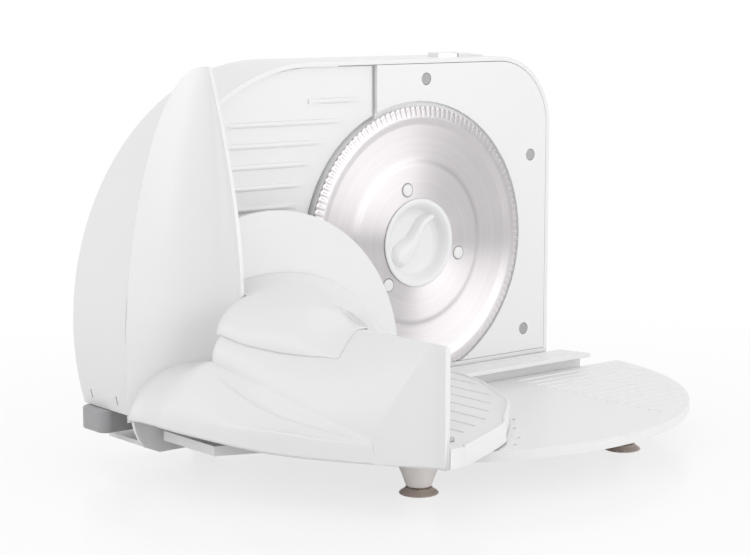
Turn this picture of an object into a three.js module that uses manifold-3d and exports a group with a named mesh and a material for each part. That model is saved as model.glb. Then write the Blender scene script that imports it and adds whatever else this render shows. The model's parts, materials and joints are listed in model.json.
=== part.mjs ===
import * as THREE from "three";
import { LoftGeometry } from "three/addons/geometries/LoftGeometry.js";
import { mergeVertices } from "three/addons/utils/BufferGeometryUtils.js";
import Module from "manifold-3d";

const wasm = await Module();
wasm.setup();

// An electric food slicer. Lengths are in millimetres. The blade turns about the Y axis, which
// runs from the cutting side at the front to the drive at the back. X runs to the right along
// the front face, and Z runs up. Places are measured from the blade's centre until the last
// lines, which stand the slicer on its feet.

// Clearances
const gap = 0.3;
const running = 0.4;
const overrun = 2;
const weld = 1e-4;

// Round blade, seen from the front
const blade = {
  radius: 95,
  teeth: 128,
  tooth: 1.1,
  tipY: 0.9,
  edgeY: -0.5,
  bevel: 8,
  step: 5,
  stepDepth: 2.1,
  dish: 22,
  dishDepth: 1,
  land: 4,
  landRise: 1.8,
  sheet: 1.4,
  bore: 26.8,
};
const peg = { count: 3, radius: 4.3, circle: 38.6, proud: 0.4, turn: (7 / 12) * Math.PI };

// Lock knob in the middle of the blade
const knob = {
  radius: 30.8,
  lip: 1.1,
  rim: 3.6,
  body: 26.2,
  bowl: 23,
  bowlDepth: 8,
  floor: 2.4,
  ridge: 9,
  ridgeRise: 5,
  stem: 5,
  stemLength: 9,
};
const ridgeTurn = -45;

// Housing: an arch on the left, a round corner on the right, flat top and foot
const housing = {
  archX: -90,
  archZ: -40,
  archWidth: 148.5,
  archHeight: 167,
  right: 128,
  corner: 50,
  foot: -92,
  frontY: 2.4,
  depth: 62.6,
  wall: 3.2,
  slotLength: 6,
  slotWidth: 1.4,
};
const vent_shares = [0.32, 0.8];
const top = housing.archZ + housing.archHeight;
const backY = housing.frontY + housing.depth;

// Flat plates in the front face
const plate = { thickness: 3, left: -35.7, cutGap: 3, plugRadius: 4, bossRadius: 6.5 };
// collar behind the blade's edge, held by a flange on the back of the plate
const collar = { inset: 1, wall: 2, behind: 1, depth: 9, flange: 2, lap: 3.6 };
const plugPlace_shares = [
  [0.066, 0.89],
  [0.852, 0.437],
  [0.812, -0.567],
];
const fence = {
  thickness: 3,
  setting: 3.6,
  bladeGap: 1.6,
  plateGap: 1.2,
  sideGap: 0.8,
  ribWidth: 3.2,
  ribRise: 0.8,
  ribPitch: 13.6,
  ribTop: 26.3,
  ribEnd: 12,
  ribStart: 12,
  ribs: 13,
};

// Drive chamber behind the blade
const chamber = {
  left: -20,
  wall: 2.6,
  platY: 14,
  plate: 3,
  round: 44,
  coverThickness: 3,
  post: 4,
  pilot: 1.4,
};
const ceiling = top - housing.wall - chamber.wall;
const floorZ = housing.foot + housing.wall + chamber.wall;
const post_shares = [
  [0.08, 0.915],
  [0.81, 0.77],
  [0.08, -0.885],
  [0.89, -0.885],
];

// Worm wheel and worm
const gear = {
  teeth: 36,
  module: 2,
  tipRise: 1,
  rootDrop: 1.7,
  toothTop_share: 0.3,
  toothRoot_share: 0.5,
  face: 13,
  flange: 45,
  flangeThickness: 3,
  hub: 9,
  journal: 6,
  journalLength: 13.5,
  wheelY: 31,
  cup: 29.6,
};
const pitchRadius = (gear.module * gear.teeth) / 2;
const worm = {
  core: 4.6,
  rise: 2.2,
  thread: 1.6,
  threadTop: 1,
  shaft: 2.5,
  length: 30,
  turns: 3.5,
  steps: 14,
};
const wormX = pitchRadius + gear.tipRise + worm.core + gap + running;
const wormY = gear.wheelY + gear.face / 2;
const bush = { wall: 3.4, length: 7.7, flange: 2 };

// Motor under the worm
const motor = {
  radius: 19.6,
  drop: 15,
  length: 49,
  cap: 6,
  capStep: 2,
  boss: 7,
  bossRise: 3,
  socket: 8,
  sides: 32,
};
const clamp = { thickness: 2.4, width: 12, foot: 9 };
const bearingBlock = { width: 14, height: 7, reach: 6 };
const board = { width: 22, height: 22, thickness: 1.6, partHeight: 7, inset: 4 };

// Switch and its two buttons in the top
const button = {
  middleY: 30,
  depth: 12,
  left: 39,
  powerWidth: 18,
  safetyWidth: 24,
  powerRise: 3,
  safetyRise: 2.4,
  safetyLow: 0.6,
  lip: 3,
  lipThickness: 1.4,
  stem: 2.6,
  travel: 2.4,
};
const switchBody = { height: 17, drop: 19, side: 3, depth: 22 };
const spring = { radius: 4.6, wire: 0.45, turns: 5, steps: 10 };

// Thickness setting behind the stop plate
const carrier = { width: 40, height: 144, thickness: 4, x: -150, middleZ: -14, nut: 8.5, nutLength: 16 };
const rod = { radius: 4, length: 36, spread: 62, tubeWall: 3, tubeLength: 32 };
const spindle = {
  radius: 5,
  thread: 0.7,
  threads: 12,
  frontY: 19,
  collar: 8,
  collarLength: 4,
  journal: 4,
};
const panel = { thickness: 3, right: -105 };
const dial = { radius: 26, grip: 1.2, lobes: 12, thickness: 17, step: 4, recess: 7, recessDepth: 4 };
const lobe_shares = [0, 0.35, 0.5, 0.85];
const screw = { head: 3.8, headHeight: 2, shank: 1.2, length: 9, slot: 0.9 };
const screwTop_share = 0.8;

// Lead outlet in the back
const gland = { radius: 8, flange: 4, bore: 3.4, neck: 5, x: 96, z: -66 };

// Base
const base = {
  middleX: -9,
  halfWidth: 189,
  halfDepth: 197,
  left: -215,
  stripWidth: 9.7,
  stripBackY: -2.8,
  tabFrontY: -58,
  tabEndY: -70,
  seatLeft: -180,
  plateBackY: -22,
  topZ: -101.2,
  sheet: 2.4,
  rim: 6.3,
  rimWall: 3,
  ribWidth: 1.6,
  ribRise: 0.5,
  ribPitch: 9.6,
  ribs: 15,
  ribStartX: 66,
  slotWidth: 2.4,
  slotLength: 5,
  slotDepth: 1,
  floorZ: -116,
  floor: 3,
  frontWallY: 2.4,
  frontWall: 3,
  frontLeft: -234,
  slant: 28,
};
// left end of the front wall: shares of its slant and of its height
const wallEnd_shares = [
  [0, 0],
  [0.07, 0.35],
  [0.18, 0.62],
  [0.34, 0.83],
  [0.64, 0.97],
  [1, 1],
];
const baseSlot_shares = [
  [0.201, -0.167],
  [0.136, -0.276],
  [-0.122, -0.609],
  [-0.212, -0.703],
  [-0.296, -0.807],
  [-0.376, -0.87],
];
const rail = {
  left: -204,
  right: 147,
  slant: 8,
  topZ: -91.5,
  depth: 25,
  lip: 3,
  webFrontY: -17,
  webBackY: -2,
  groove: 0.6,
  grooveWidth: 1.2,
  grooves: 5,
};
const beam = { left: -237.5, right: 129, frontY: 33, backY: 62, height: 14.6, corner: 7, stud: 5 };
const standHeight = 130;
const foot = {
  frontY: -138.5,
  frontLeft: -120,
  frontRight: 60,
  backY: 45,
  backLeft: -150,
  backRight: 90,
  neck: 7.8,
  flare: 6.4,
  flareHeight: 12,
  shoulder: 13.2,
  shoulderHeight: 1,
  cup: 12.3,
  cupHeight: 4.2,
  cupEdge: 1.2,
  stem: 3,
  stemHeight: 4,
};

// Food carriage
const carriage = {
  backY: -5,
  frontY: -197,
  ridgeX: -147,
  ridgeTop: -27.5,
  ridgeEdge: 3,
  ridgeWidth: 13,
  ridgeFrontWidth: 5,
  slopeSteps: 6,
  wall: 2.6,
  bottomZ: -100.2,
  overRailZ: -90.7,
  railFrontY: -29,
  lipZ: -94.5,
  skirtFrontY: -100,
  footX: -206,
  footZ: -52,
  footStartY: -45,
  footBackX: -203,
  footBackZ: -58,
  footEndX: -171,
  footEndZ: -88,
  footEndY: -162,
};
// outer edge of the floor in plan, as shares of its reach left of the ridge and of its depth
const plan_shares = [
  [1, 0],
  [0.965, 0.06],
  [0.955, 0.125],
  [0.905, 0.2],
  [0.847, 0.264],
  [0.768, 0.346],
  [0.689, 0.422],
  [0.592, 0.5],
  [0.518, 0.589],
  [0.349, 0.737],
  [0.176, 0.87],
  [0.095, 0.93],
  [0, 1],
];
const planReach = 95;
// roundness of the ridge's outer slope, by share of the carriage's depth
const slopePower_shares = [
  [0.21, 1.7],
  [0.6, 1.2],
  [0.83, 1.6],
];
// hollow of the floor below its foot line
const hollow_shares = { across: 0.62, up: 0.3 };
const guard = {
  x: -181,
  topZ: 126,
  middleZ: -44,
  reach: 62,
  depth: 35,
  depthMiddleZ: -8,
  thickness: 2.6,
  tip: 3,
  levels: 14,
  arcSteps: 9,
};
const platform = {
  topZ: -88,
  sheet: 2,
  rimWall: 2.4,
  rightX: 9,
  grooves: 8,
  groovePitch: 17.2,
  groove: 2,
  grooveDepth: 0.8,
  grooveInset: 16,
  screwX: -133,
  screwY: -180,
};
// free edge of the platform in plan, as shares of its width and depth
const platform_shares = [
  [0.075, 1],
  [0.2, 0.95],
  [0.43, 0.86],
  [0.54, 0.78],
  [0.66, 0.685],
  [0.745, 0.62],
  [0.826, 0.515],
  [0.905, 0.39],
  [0.962, 0.28],
  [0.99, 0.16],
  [1, 0.04],
  [1, 0],
];
const runner = { left: -198, right: -32, pad: 0.9, leg: 3.4, tongue: 6.6, tongueHeight: 3.8, legDrop: 9 };

// Food pusher
const pusher = {
  middleX: -138.5,
  middleZ: -74.5,
  radius: 108,
  frontY: -14,
  thickness: 3,
  bottomGap: 1.5,
  guardGap: 1.4,
  ridgeGap: 0.6,
  spike: 5,
  spikeRadius: 2.2,
  spikeSides: 6,
  wall: 3,
};
const spike_shares = [
  [0.2, 0.86],
  [0.42, 0.72],
  [0.3, 0.52],
  [0.62, 0.5],
  [0.5, 0.3],
  [0.76, 0.22],
  [0.62, 0.1],
  [0.1, 0.36],
];
// grip sections: place along the grip, left and right spread, drop of the top
const grip = { frontY: -129, topX: -135, frontTopX: -155, topZ: -7, frontTopZ: -24.5, arcSteps: 10 };
const gripSpread = {
  left: 70,
  right: 97,
  leftFoot: 44,
  rightFoot: 77,
  frontLeft: 13.5,
  frontRight: 9.5,
  frontFoot: 18,
};
const grip_shares = [
  [0, 1, 1, 0],
  [0.06, 0.97, 0.9, 0.02],
  [0.15, 0.94, 0.78, 0.05],
  [0.25, 0.92, 0.66, 0.09],
  [0.4, 0.72, 0.48, 0.19],
  [0.55, 0.52, 0.3, 0.33],
  [0.7, 0.33, 0.17, 0.52],
  [0.85, 0.15, 0.07, 0.75],
  [1, 0, 0, 1],
];
const gripLeft_share = 0.85;
const gripScrew = { head: 3.4, headHeight: 1.6, shank: 1.3, length: 8, slot: 0.8 };
const gripScrew_shares = [0.12, 0.3];

// Materials
function finish(color, roughness, metalness) {
  return new THREE.MeshStandardMaterial({ color, roughness, metalness });
}
const whitePlastic = finish(0xf0f0f0, 0.3, 0);
const innerPlastic = finish(0xe4e4e2, 0.5, 0);
const nylon = finish(0xe8e2d2, 0.5, 0);
const greyPaint = finish(0x9a9a9c, 0.4, 0.2);
const steel = finish(0xd2ccd0, 0.28, 1);
const rodSteel = finish(0xb8b8ba, 0.3, 1);
const canSteel = finish(0x8c8c8e, 0.4, 1);
const chrome = finish(0xd8d8da, 0.12, 1);
const plugGrey = finish(0xb0b0b2, 0.45, 0);
const darkPlastic = finish(0x2c2c2e, 0.5, 0);
const footWhite = finish(0xdcd6d2, 0.45, 0);
const cupClear = finish(0xc8bdb5, 0.25, 0);
const bronze = finish(0xb08d57, 0.4, 1);
const boardGreen = finish(0x2f6b45, 0.6, 0);

// A closed geometry as a solid that can be joined and cut
function solid(geometry) {
  const bare = geometry.index ? geometry.toNonIndexed() : geometry.clone();
  bare.deleteAttribute("normal");
  bare.deleteAttribute("uv");
  const merged = mergeVertices(bare, weld);
  const order = [...merged.index.array];
  const kept = [];
  for (let i = 0; i < order.length; i += 3) {
    const [a, b, c] = order.slice(i, i + 3);
    if (a !== b && b !== c && c !== a) kept.push(a, b, c);
  }
  const vertProperties = merged.attributes.position.array;
  const made = new wasm.Manifold(
    new wasm.Mesh({ numProp: 3, vertProperties, triVerts: new Uint32Array(kept) }),
  );
  if (made.volume() > 0) return made;
  return new wasm.Manifold(
    new wasm.Mesh({ numProp: 3, vertProperties, triVerts: new Uint32Array(kept.reverse()) }),
  );
}

function joined(solids) {
  return solids.reduce((sum, next) => sum.add(next));
}

function cut(body, tools) {
  return tools.reduce((left, tool) => left.subtract(tool), body);
}

// A named mesh of a solid
function piece(parent, name, body, material) {
  const made = body.getMesh();
  const geometry = new THREE.BufferGeometry();
  geometry.setAttribute("position", new THREE.BufferAttribute(new Float32Array(made.vertProperties), 3));
  geometry.setIndex(new THREE.BufferAttribute(new Uint32Array(made.triVerts), 1));
  geometry.computeVertexNormals();
  const mesh = new THREE.Mesh(geometry, material);
  mesh.name = name;
  parent.add(mesh);
  return mesh;
}

function outline(points) {
  return new THREE.Shape(points.map(([a, b]) => new THREE.Vector2(a, b)));
}

function extruded(shape, depth, curveSegments) {
  return new THREE.ExtrudeGeometry(shape, { depth, bevelEnabled: false, curveSegments });
}

// An outline in X and Z, given depth from front to back
function alongY(shape, front, back, curveSegments = 16) {
  const geometry = extruded(shape, back - front, curveSegments);
  geometry.rotateX(Math.PI / 2);
  geometry.translate(0, back, 0);
  return solid(geometry);
}

// An outline in X and Y, given height
function alongZ(shape, low, high, curveSegments = 16) {
  const geometry = extruded(shape, high - low, curveSegments);
  geometry.translate(0, 0, low);
  return solid(geometry);
}

// An outline in Y and Z, given length from left to right
function alongX(shape, left, right, curveSegments = 16) {
  const geometry = extruded(shape, right - left, curveSegments);
  geometry.rotateX(Math.PI / 2);
  geometry.rotateZ(Math.PI / 2);
  geometry.translate(left, 0, 0);
  return solid(geometry);
}

function box(left, right, front, back, low, high) {
  const geometry = new THREE.BoxGeometry(right - left, back - front, high - low);
  geometry.translate((left + right) / 2, (front + back) / 2, (low + high) / 2);
  return solid(geometry);
}

// A profile of radius and place, turned about a line along Y
function turnedY(profile, x = 0, z = 0, sides = 32) {
  const geometry = new THREE.LatheGeometry(
    profile.map(([r, y]) => new THREE.Vector2(r, y)),
    sides,
  );
  geometry.translate(x, 0, z);
  return solid(geometry);
}

// A profile of radius and height, turned about a line along Z
function turnedZ(profile, x, y, sides = 32) {
  const geometry = new THREE.LatheGeometry(
    profile.map(([r, z]) => new THREE.Vector2(r, z)),
    sides,
  );
  geometry.rotateX(Math.PI / 2);
  geometry.translate(x, y, 0);
  return solid(geometry);
}

function rodY(radius, front, back, x = 0, z = 0, sides = 24) {
  return turnedY(
    [
      [0, front],
      [radius, front],
      [radius, back],
      [0, back],
    ],
    x,
    z,
    sides,
  );
}

function rodZ(radius, low, high, x, y, sides = 24) {
  return turnedZ(
    [
      [0, low],
      [radius, low],
      [radius, high],
      [0, high],
    ],
    x,
    y,
    sides,
  );
}

// Housing outline in X and Z, drawn in by an inset
function housingShape(inset) {
  const width = housing.archWidth - inset;
  const height = housing.archHeight - inset;
  const low = housing.foot + inset;
  const right = housing.right - inset;
  const corner = housing.corner - inset;
  const end = Math.PI + Math.asin((housing.archZ - low) / height);
  const shape = new THREE.Shape();
  shape.moveTo(right, low);
  shape.lineTo(right, top - housing.corner);
  shape.absarc(right - corner, top - housing.corner, corner, 0, Math.PI / 2, false);
  shape.absellipse(housing.archX, housing.archZ, width, height, Math.PI / 2, end, false, 0);
  shape.closePath();
  return shape;
}

// Chamber outline in X and Z: the right part of the housing, bulged round the worm wheel
function chamberShape(inset) {
  const round = chamber.round - inset;
  const left = chamber.left + inset;
  const high = top - housing.wall - inset;
  const low = housing.foot + housing.wall + inset;
  const right = housing.right - housing.wall - inset;
  const corner = housing.corner - housing.wall - inset;
  const start = Math.acos(left / round);
  const shape = new THREE.Shape();
  shape.moveTo(right, low);
  shape.lineTo(right, top - housing.corner);
  shape.absarc(right - corner, top - housing.corner, corner, 0, Math.PI / 2, false);
  shape.lineTo(left, high);
  shape.absarc(0, 0, round, start, 2 * Math.PI - start, false);
  shape.lineTo(left, low);
  shape.closePath();
  return shape;
}

function plugPlaces() {
  return plugPlace_shares.map(([a, b]) => [a * housing.right, b * top]);
}

function postPlaces() {
  const left = chamber.left;
  const wide = housing.right - left;
  return post_shares.map(([a, b]) => [left + a * wide, b * (b > 0 ? top : -housing.foot)]);
}

// Blade profile from the middle out along the front and back again
function bladeProfile() {
  const bevelR = blade.radius - blade.bevel;
  const stepR = bevelR - blade.step;
  const dishR = stepR - blade.dish;
  const landR = dishR - blade.land;
  const stepY = blade.edgeY + blade.stepDepth;
  const dishY = stepY + blade.dishDepth;
  const landY = dishY - blade.landRise;
  return [
    [blade.bore, landY],
    [landR, landY],
    [dishR, dishY],
    [stepR, stepY],
    [bevelR, blade.edgeY],
    [blade.radius, blade.tipY],
    [blade.radius, blade.tipY + gap],
    [bevelR, blade.edgeY + blade.sheet],
    [stepR, stepY + blade.sheet],
    [dishR, dishY + blade.sheet],
    [landR, landY + blade.sheet],
    [blade.bore, landY + blade.sheet],
    [blade.bore, landY],
  ];
}
const bladeMiddleY = blade.edgeY + blade.stepDepth + blade.dishDepth - blade.landRise;
const bladeBackY = bladeMiddleY + blade.sheet;

function pegPlaces() {
  return Array.from({ length: peg.count }, (_, i) => {
    const angle = peg.turn + (i * 2 * Math.PI) / peg.count;
    return [peg.circle * Math.cos(angle), peg.circle * Math.sin(angle)];
  });
}

function toothedShape(count, points) {
  const ring = [];
  for (let i = 0; i < count; i += 1) {
    for (const [turn_share, radius] of points) {
      const angle = ((i + turn_share) * 2 * Math.PI) / count;
      ring.push([radius * Math.cos(angle), radius * Math.sin(angle)]);
    }
  }
  return outline(ring);
}

function addBlade(parent) {
  const round = turnedY(bladeProfile(), 0, 0, blade.teeth);
  const teeth = toothedShape(blade.teeth, [
    [0, blade.radius - gap],
    [1 / 2, blade.radius - gap - blade.tooth],
  ]);
  const rim = alongY(teeth, blade.edgeY - overrun, bladeBackY + overrun);
  const holes = pegPlaces().map(([x, z]) => {
    return rodY(peg.radius + gap, blade.edgeY, bladeBackY + overrun, x, z, 16);
  });
  piece(parent, "blade", cut(round.intersect(rim), holes), steel);
}

// The knob's lip stands on the blade's face, and its bowl reaches through the blade
const knobLipY = bladeMiddleY - gap;
const knobFrontY = knobLipY - knob.lip;
const knobFloorY = knobFrontY + knob.bowlDepth;
const knobBackY = knobFloorY + knob.floor;
function addLockKnob(parent) {
  const stemY = knobBackY + knob.stemLength;
  const body = turnedY(
    [
      [0, knobFloorY],
      [knob.bowl - knob.floor, knobFloorY],
      [knob.bowl, knobLipY],
      [knob.radius - knob.rim, knobFrontY],
      [knob.radius, knobFrontY],
      [knob.radius, knobLipY],
      [knob.body, knobLipY],
      [knob.body, knobBackY],
      [knob.stem, knobBackY],
      [knob.stem, stemY],
      [0, stemY],
    ],
    0,
    0,
    40,
  );
  const reach = knob.bowl - knob.floor / 2;
  const ridgeY = knobFloorY - knob.ridgeRise;
  const ridge = box(-reach, reach, ridgeY, knobFloorY + gap, -knob.ridge / 2, knob.ridge / 2);
  piece(parent, "lock_knob", body.add(ridge.rotate([0, ridgeTurn, 0])), whitePlastic);
}

function addDriveGear(parent) {
  const frontY = bladeBackY + gap;
  const flangeY = frontY + gear.flangeThickness;
  const cupY = knobBackY + gap;
  const cupBackY = cupY + gear.flangeThickness - gap;
  const wheelBack = gear.wheelY + gear.face;
  const endY = wheelBack + gear.journalLength;
  const rootR = pitchRadius - gear.rootDrop;
  const body = turnedY(
    [
      [0, frontY],
      [gear.flange, frontY],
      [gear.flange, flangeY],
      [gear.cup, flangeY],
      [gear.cup, cupBackY],
      [gear.hub, cupBackY],
      [gear.hub, gear.wheelY],
      [rootR, gear.wheelY],
      [rootR, wheelBack],
      [gear.journal, wheelBack],
      [gear.journal, endY],
      [0, endY],
    ],
    0,
    0,
    36,
  );
  const topHalf = gear.toothTop_share / 2;
  const rootHalf = gear.toothRoot_share / 2;
  const tip = pitchRadius + gear.tipRise;
  const teeth = toothedShape(gear.teeth, [
    [-rootHalf, rootR],
    [-topHalf, tip],
    [topHalf, tip],
    [rootHalf, rootR],
  ]);
  const pegs = pegPlaces().map(([x, z]) => {
    return rodY(peg.radius, bladeMiddleY - peg.proud, flangeY, x, z, 16);
  });
  const cup = rodY(knob.body + gap, frontY - overrun, cupY, 0, 0, 40);
  const socketY = cupY + knob.stemLength;
  const socket = rodY(knob.stem + running, cupY - overrun, socketY, 0, 0, 24);
  const wheel = joined([body, alongY(teeth, gear.wheelY, wheelBack), ...pegs]);
  piece(parent, "drive_gear", cut(wheel, [cup, socket]), nylon);
}

function ring(inner, outer, front, back, x = 0, z = 0, sides = 32) {
  return turnedY(
    [
      [inner, front],
      [outer, front],
      [outer, back],
      [inner, back],
      [inner, front],
    ],
    x,
    z,
    sides,
  );
}

function addBushes(parent) {
  const inner = gear.hub + running;
  const front = chamber.platY - gap;
  piece(parent, "front_bush", ring(inner, inner + bush.wall, front, front + bush.length), bronze);
  const rearInner = gear.journal + running;
  const rearFront = gear.wheelY + gear.face + bush.flange;
  const rearBack = rearFront + bush.length;
  piece(parent, "rear_bush", ring(rearInner, rearInner + bush.wall, rearFront, rearBack), bronze);
}

function averageOf(ring) {
  return ring.reduce((sum, point) => sum.add(point), new THREE.Vector3()).divideScalar(ring.length);
}

// A solid through closed rings of points, turned so that it faces out
function lofted(sections) {
  const first = sections[0];
  const centre = averageOf(first);
  const facing = new THREE.Vector3();
  first.forEach((point, i) => {
    const next = first[(i + 1) % first.length];
    facing.add(point.clone().sub(centre).cross(next.clone().sub(centre)));
  });
  const forward = averageOf(sections[1]).sub(centre);
  const rings = facing.dot(forward) < 0 ? sections.map((section) => [...section].reverse()) : sections;
  return solid(new LoftGeometry(rings, { capStart: true, capEnd: true }));
}

// One turn of helix is one tooth of the wheel
function helix(x, y, radius, height, halfFoot, halfTop, pitch, turns, steps, startZ, startAngle) {
  const sections = [];
  const count = Math.round(turns * steps);
  for (let i = 0; i <= count; i += 1) {
    const angle = startAngle + (i * 2 * Math.PI) / steps;
    const z = startZ + (i * pitch) / steps;
    const at = (r, rise) => new THREE.Vector3(x + r * Math.cos(angle), y + r * Math.sin(angle), z + rise);
    sections.push([
      at(radius, -halfFoot),
      at(radius + height, -halfTop),
      at(radius + height, halfTop),
      at(radius, halfFoot),
    ]);
  }
  return lofted(sections);
}

function addWorm(parent) {
  const half = worm.length / 2;
  const pitch = (2 * Math.PI * pitchRadius) / gear.teeth;
  const startZ = -(worm.turns * pitch) / 2;
  // the thread faces the wheel, at half a turn, midway between two teeth
  const startAngle = Math.PI + Math.PI - Math.PI * worm.turns;
  const thread = helix(
    wormX,
    wormY,
    worm.core - gap,
    worm.rise,
    worm.thread / 2,
    worm.threadTop / 2,
    pitch,
    worm.turns,
    worm.steps,
    startZ,
    startAngle,
  );
  const low = -half - motor.drop - motor.socket;
  const core = turnedZ(
    [
      [0, low],
      [worm.shaft, low],
      [worm.shaft, -half + overrun],
      [worm.core, -half + overrun],
      [worm.core, half - overrun],
      [worm.shaft, half - overrun],
      [worm.shaft, half + bearingBlock.height + overrun],
      [0, half + bearingBlock.height + overrun],
    ],
    wormX,
    wormY,
    24,
  );
  piece(parent, "worm_shaft", core.add(thread), rodSteel);
}

function addMotor(parent) {
  const highZ = -worm.length / 2 - motor.drop - gap;
  const canLow = highZ - motor.length;
  const can = turnedZ(
    [
      [0, canLow],
      [motor.radius, canLow],
      [motor.radius, highZ - motor.bossRise],
      [motor.boss, highZ - motor.bossRise],
      [motor.boss, highZ],
      [0, highZ],
    ],
    wormX,
    wormY,
    motor.sides,
  );
  const hole = rodZ(worm.shaft + running, highZ - motor.socket - gap, highZ + overrun, wormX, wormY, 20);
  piece(parent, "motor_can", can.subtract(hole), canSteel);
  const capHigh = canLow - gap;
  const capLow = Math.max(capHigh - motor.cap, floorZ + gap);
  const cap = turnedZ(
    [
      [0, capLow],
      [motor.radius - motor.capStep, capLow],
      [motor.radius, capLow + motor.capStep],
      [motor.radius, capHigh],
      [0, capHigh],
    ],
    wormX,
    wormY,
    motor.sides,
  );
  piece(parent, "motor_end_cap", cap, darkPlastic);
  addMotorClamp(parent, (highZ + canLow) / 2);
  addBearingBlock(parent);
}

// A strap over the can, with a foot on each side against the bearing plate
function addMotorClamp(parent, middleZ) {
  const plateY = chamber.platY + chamber.plate + gap;
  const inner = motor.radius + gap;
  const outer = inner + clamp.thickness;
  const shape = new THREE.Shape();
  shape.moveTo(wormX + outer + clamp.foot, plateY);
  shape.lineTo(wormX + outer + clamp.foot, plateY + clamp.thickness);
  shape.lineTo(wormX + outer, plateY + clamp.thickness);
  shape.lineTo(wormX + outer, wormY);
  shape.absarc(wormX, wormY, outer, 0, Math.PI, false);
  shape.lineTo(wormX - outer, plateY + clamp.thickness);
  shape.lineTo(wormX - outer - clamp.foot, plateY + clamp.thickness);
  shape.lineTo(wormX - outer - clamp.foot, plateY);
  shape.lineTo(wormX - inner, plateY);
  shape.lineTo(wormX - inner, wormY);
  shape.absarc(wormX, wormY, inner, Math.PI, 0, true);
  shape.lineTo(wormX + inner, plateY);
  shape.closePath();
  const low = middleZ - clamp.width / 2;
  piece(parent, "motor_clamp", alongZ(shape, low, low + clamp.width, 10), rodSteel);
}

function addBearingBlock(parent) {
  const low = worm.length / 2;
  const half = bearingBlock.width / 2;
  const front = chamber.platY + chamber.plate + gap;
  const body = box(
    wormX - half,
    wormX + half,
    front,
    wormY + bearingBlock.reach,
    low,
    low + bearingBlock.height,
  );
  const hole = rodZ(
    worm.shaft + running,
    low - overrun,
    low + bearingBlock.height + overrun,
    wormX,
    wormY,
    20,
  );
  piece(parent, "worm_bearing", body.subtract(hole), innerPlastic);
}

function addBoard(parent) {
  const front = chamber.platY + chamber.plate + gap;
  const low = floorZ + gap;
  const sheet = box(0, board.width, front, front + board.thickness, low, low + board.height);
  const blockWidth = board.width / 3;
  const blocks = [0, 1].map((i) => {
    const left = board.inset / 2 + i * (blockWidth + board.inset);
    const base = low + board.inset * (i + 1);
    return box(left, left + blockWidth, front, front + board.partHeight, base, base + board.height / 3);
  });
  piece(parent, "rectifier_board", joined([sheet, ...blocks]), boardGreen);
}

// Housing shell: arch band, bearing plate, chamber wall, back panel, posts and tubes
function addHousing(parent) {
  const outer = alongY(housingShape(0), housing.frontY, backY);
  const hollow = alongY(housingShape(housing.wall), housing.frontY - overrun, backY + overrun);
  const band = outer.subtract(hollow);
  const plateBack = chamber.platY + chamber.plate;
  const bearing = alongY(chamberShape(0), chamber.platY, plateBack);
  const coverY = backY - chamber.coverThickness;
  const wallSolid = alongY(chamberShape(0), chamber.platY, coverY);
  const wallHollow = alongY(chamberShape(chamber.wall), plateBack, backY + overrun);
  const wall = wallSolid.subtract(wallHollow);
  const seat = gear.hub + running + bush.wall + gap;
  const parts = [band, bearing, wall, backPanel()];
  for (const [x, z] of postPlaces()) parts.push(rodY(chamber.post, plateBack, coverY - gap, x, z, 16));
  const bossFront = housing.frontY + plate.thickness + gap;
  for (const [x, z] of plugPlaces()) parts.push(
    rodY(plate.bossRadius, bossFront, chamber.platY, x, z, 16),
  );
  for (const side of [1, -1]) parts.push(rodTube(side));
  const holes = [rodY(seat, chamber.platY - overrun, plateBack + overrun, 0, 0, 32)];
  for (const [x, z] of postPlaces()) holes.push(
    rodY(chamber.pilot, coverY - screw.length, coverY, x, z, 10),
  );
  for (const side of [1, -1]) holes.push(rodBore(side));
  const spindleHole = spindle.journal + running;
  holes.push(rodY(spindleHole, coverY - overrun, backY + overrun, carrier.x, carrier.middleZ, 20));
  holes.push(buttonHole());
  holes.push(...sideSlots());
  piece(parent, "housing_shell", cut(joined(parts), holes), whitePlastic);
}

// The closed part of the back, left of the slice outlet
function backPanel() {
  const solidPanel = alongY(housingShape(housing.wall / 2), backY - panel.thickness, backY);
  const right = box(
    panel.right,
    housing.right,
    backY - panel.thickness - overrun,
    backY + overrun,
    housing.foot,
    top,
  );
  return solidPanel.subtract(right);
}

function rodTube(side) {
  const front = backY - panel.thickness - rod.tubeLength;
  const radius = rod.radius + running + rod.tubeWall;
  return rodY(
    radius,
    front,
    backY - panel.thickness / 2,
    carrier.x,
    carrier.middleZ + side * rod.spread,
    20,
  );
}

function rodBore(side) {
  const front = backY - panel.thickness - rod.tubeLength - overrun;
  return rodY(
    rod.radius + running,
    front,
    backY - panel.thickness,
    carrier.x,
    carrier.middleZ + side * rod.spread,
    20,
  );
}

function buttonHole() {
  const front = button.middleY - button.depth / 2 - gap;
  const back = button.middleY + button.depth / 2 + gap;
  const middle = button.left + button.powerWidth;
  const right = middle + 2 * gap + button.safetyWidth;
  return box(button.left - gap, right + gap, front, back, ceiling - overrun, top + overrun);
}

// Narrow vents through the left wall near its foot
function sideSlots() {
  const low = housing.foot + housing.wall + overrun;
  const left = housing.archX - housing.archWidth - overrun;
  const right = housing.archX - housing.archWidth / 2;
  const half = housing.slotWidth / 2;
  return vent_shares.map((share) => {
    const y = housing.frontY + share * housing.depth;
    return box(left, right, y - half, y + half, low, low + housing.slotLength);
  });
}

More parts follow.
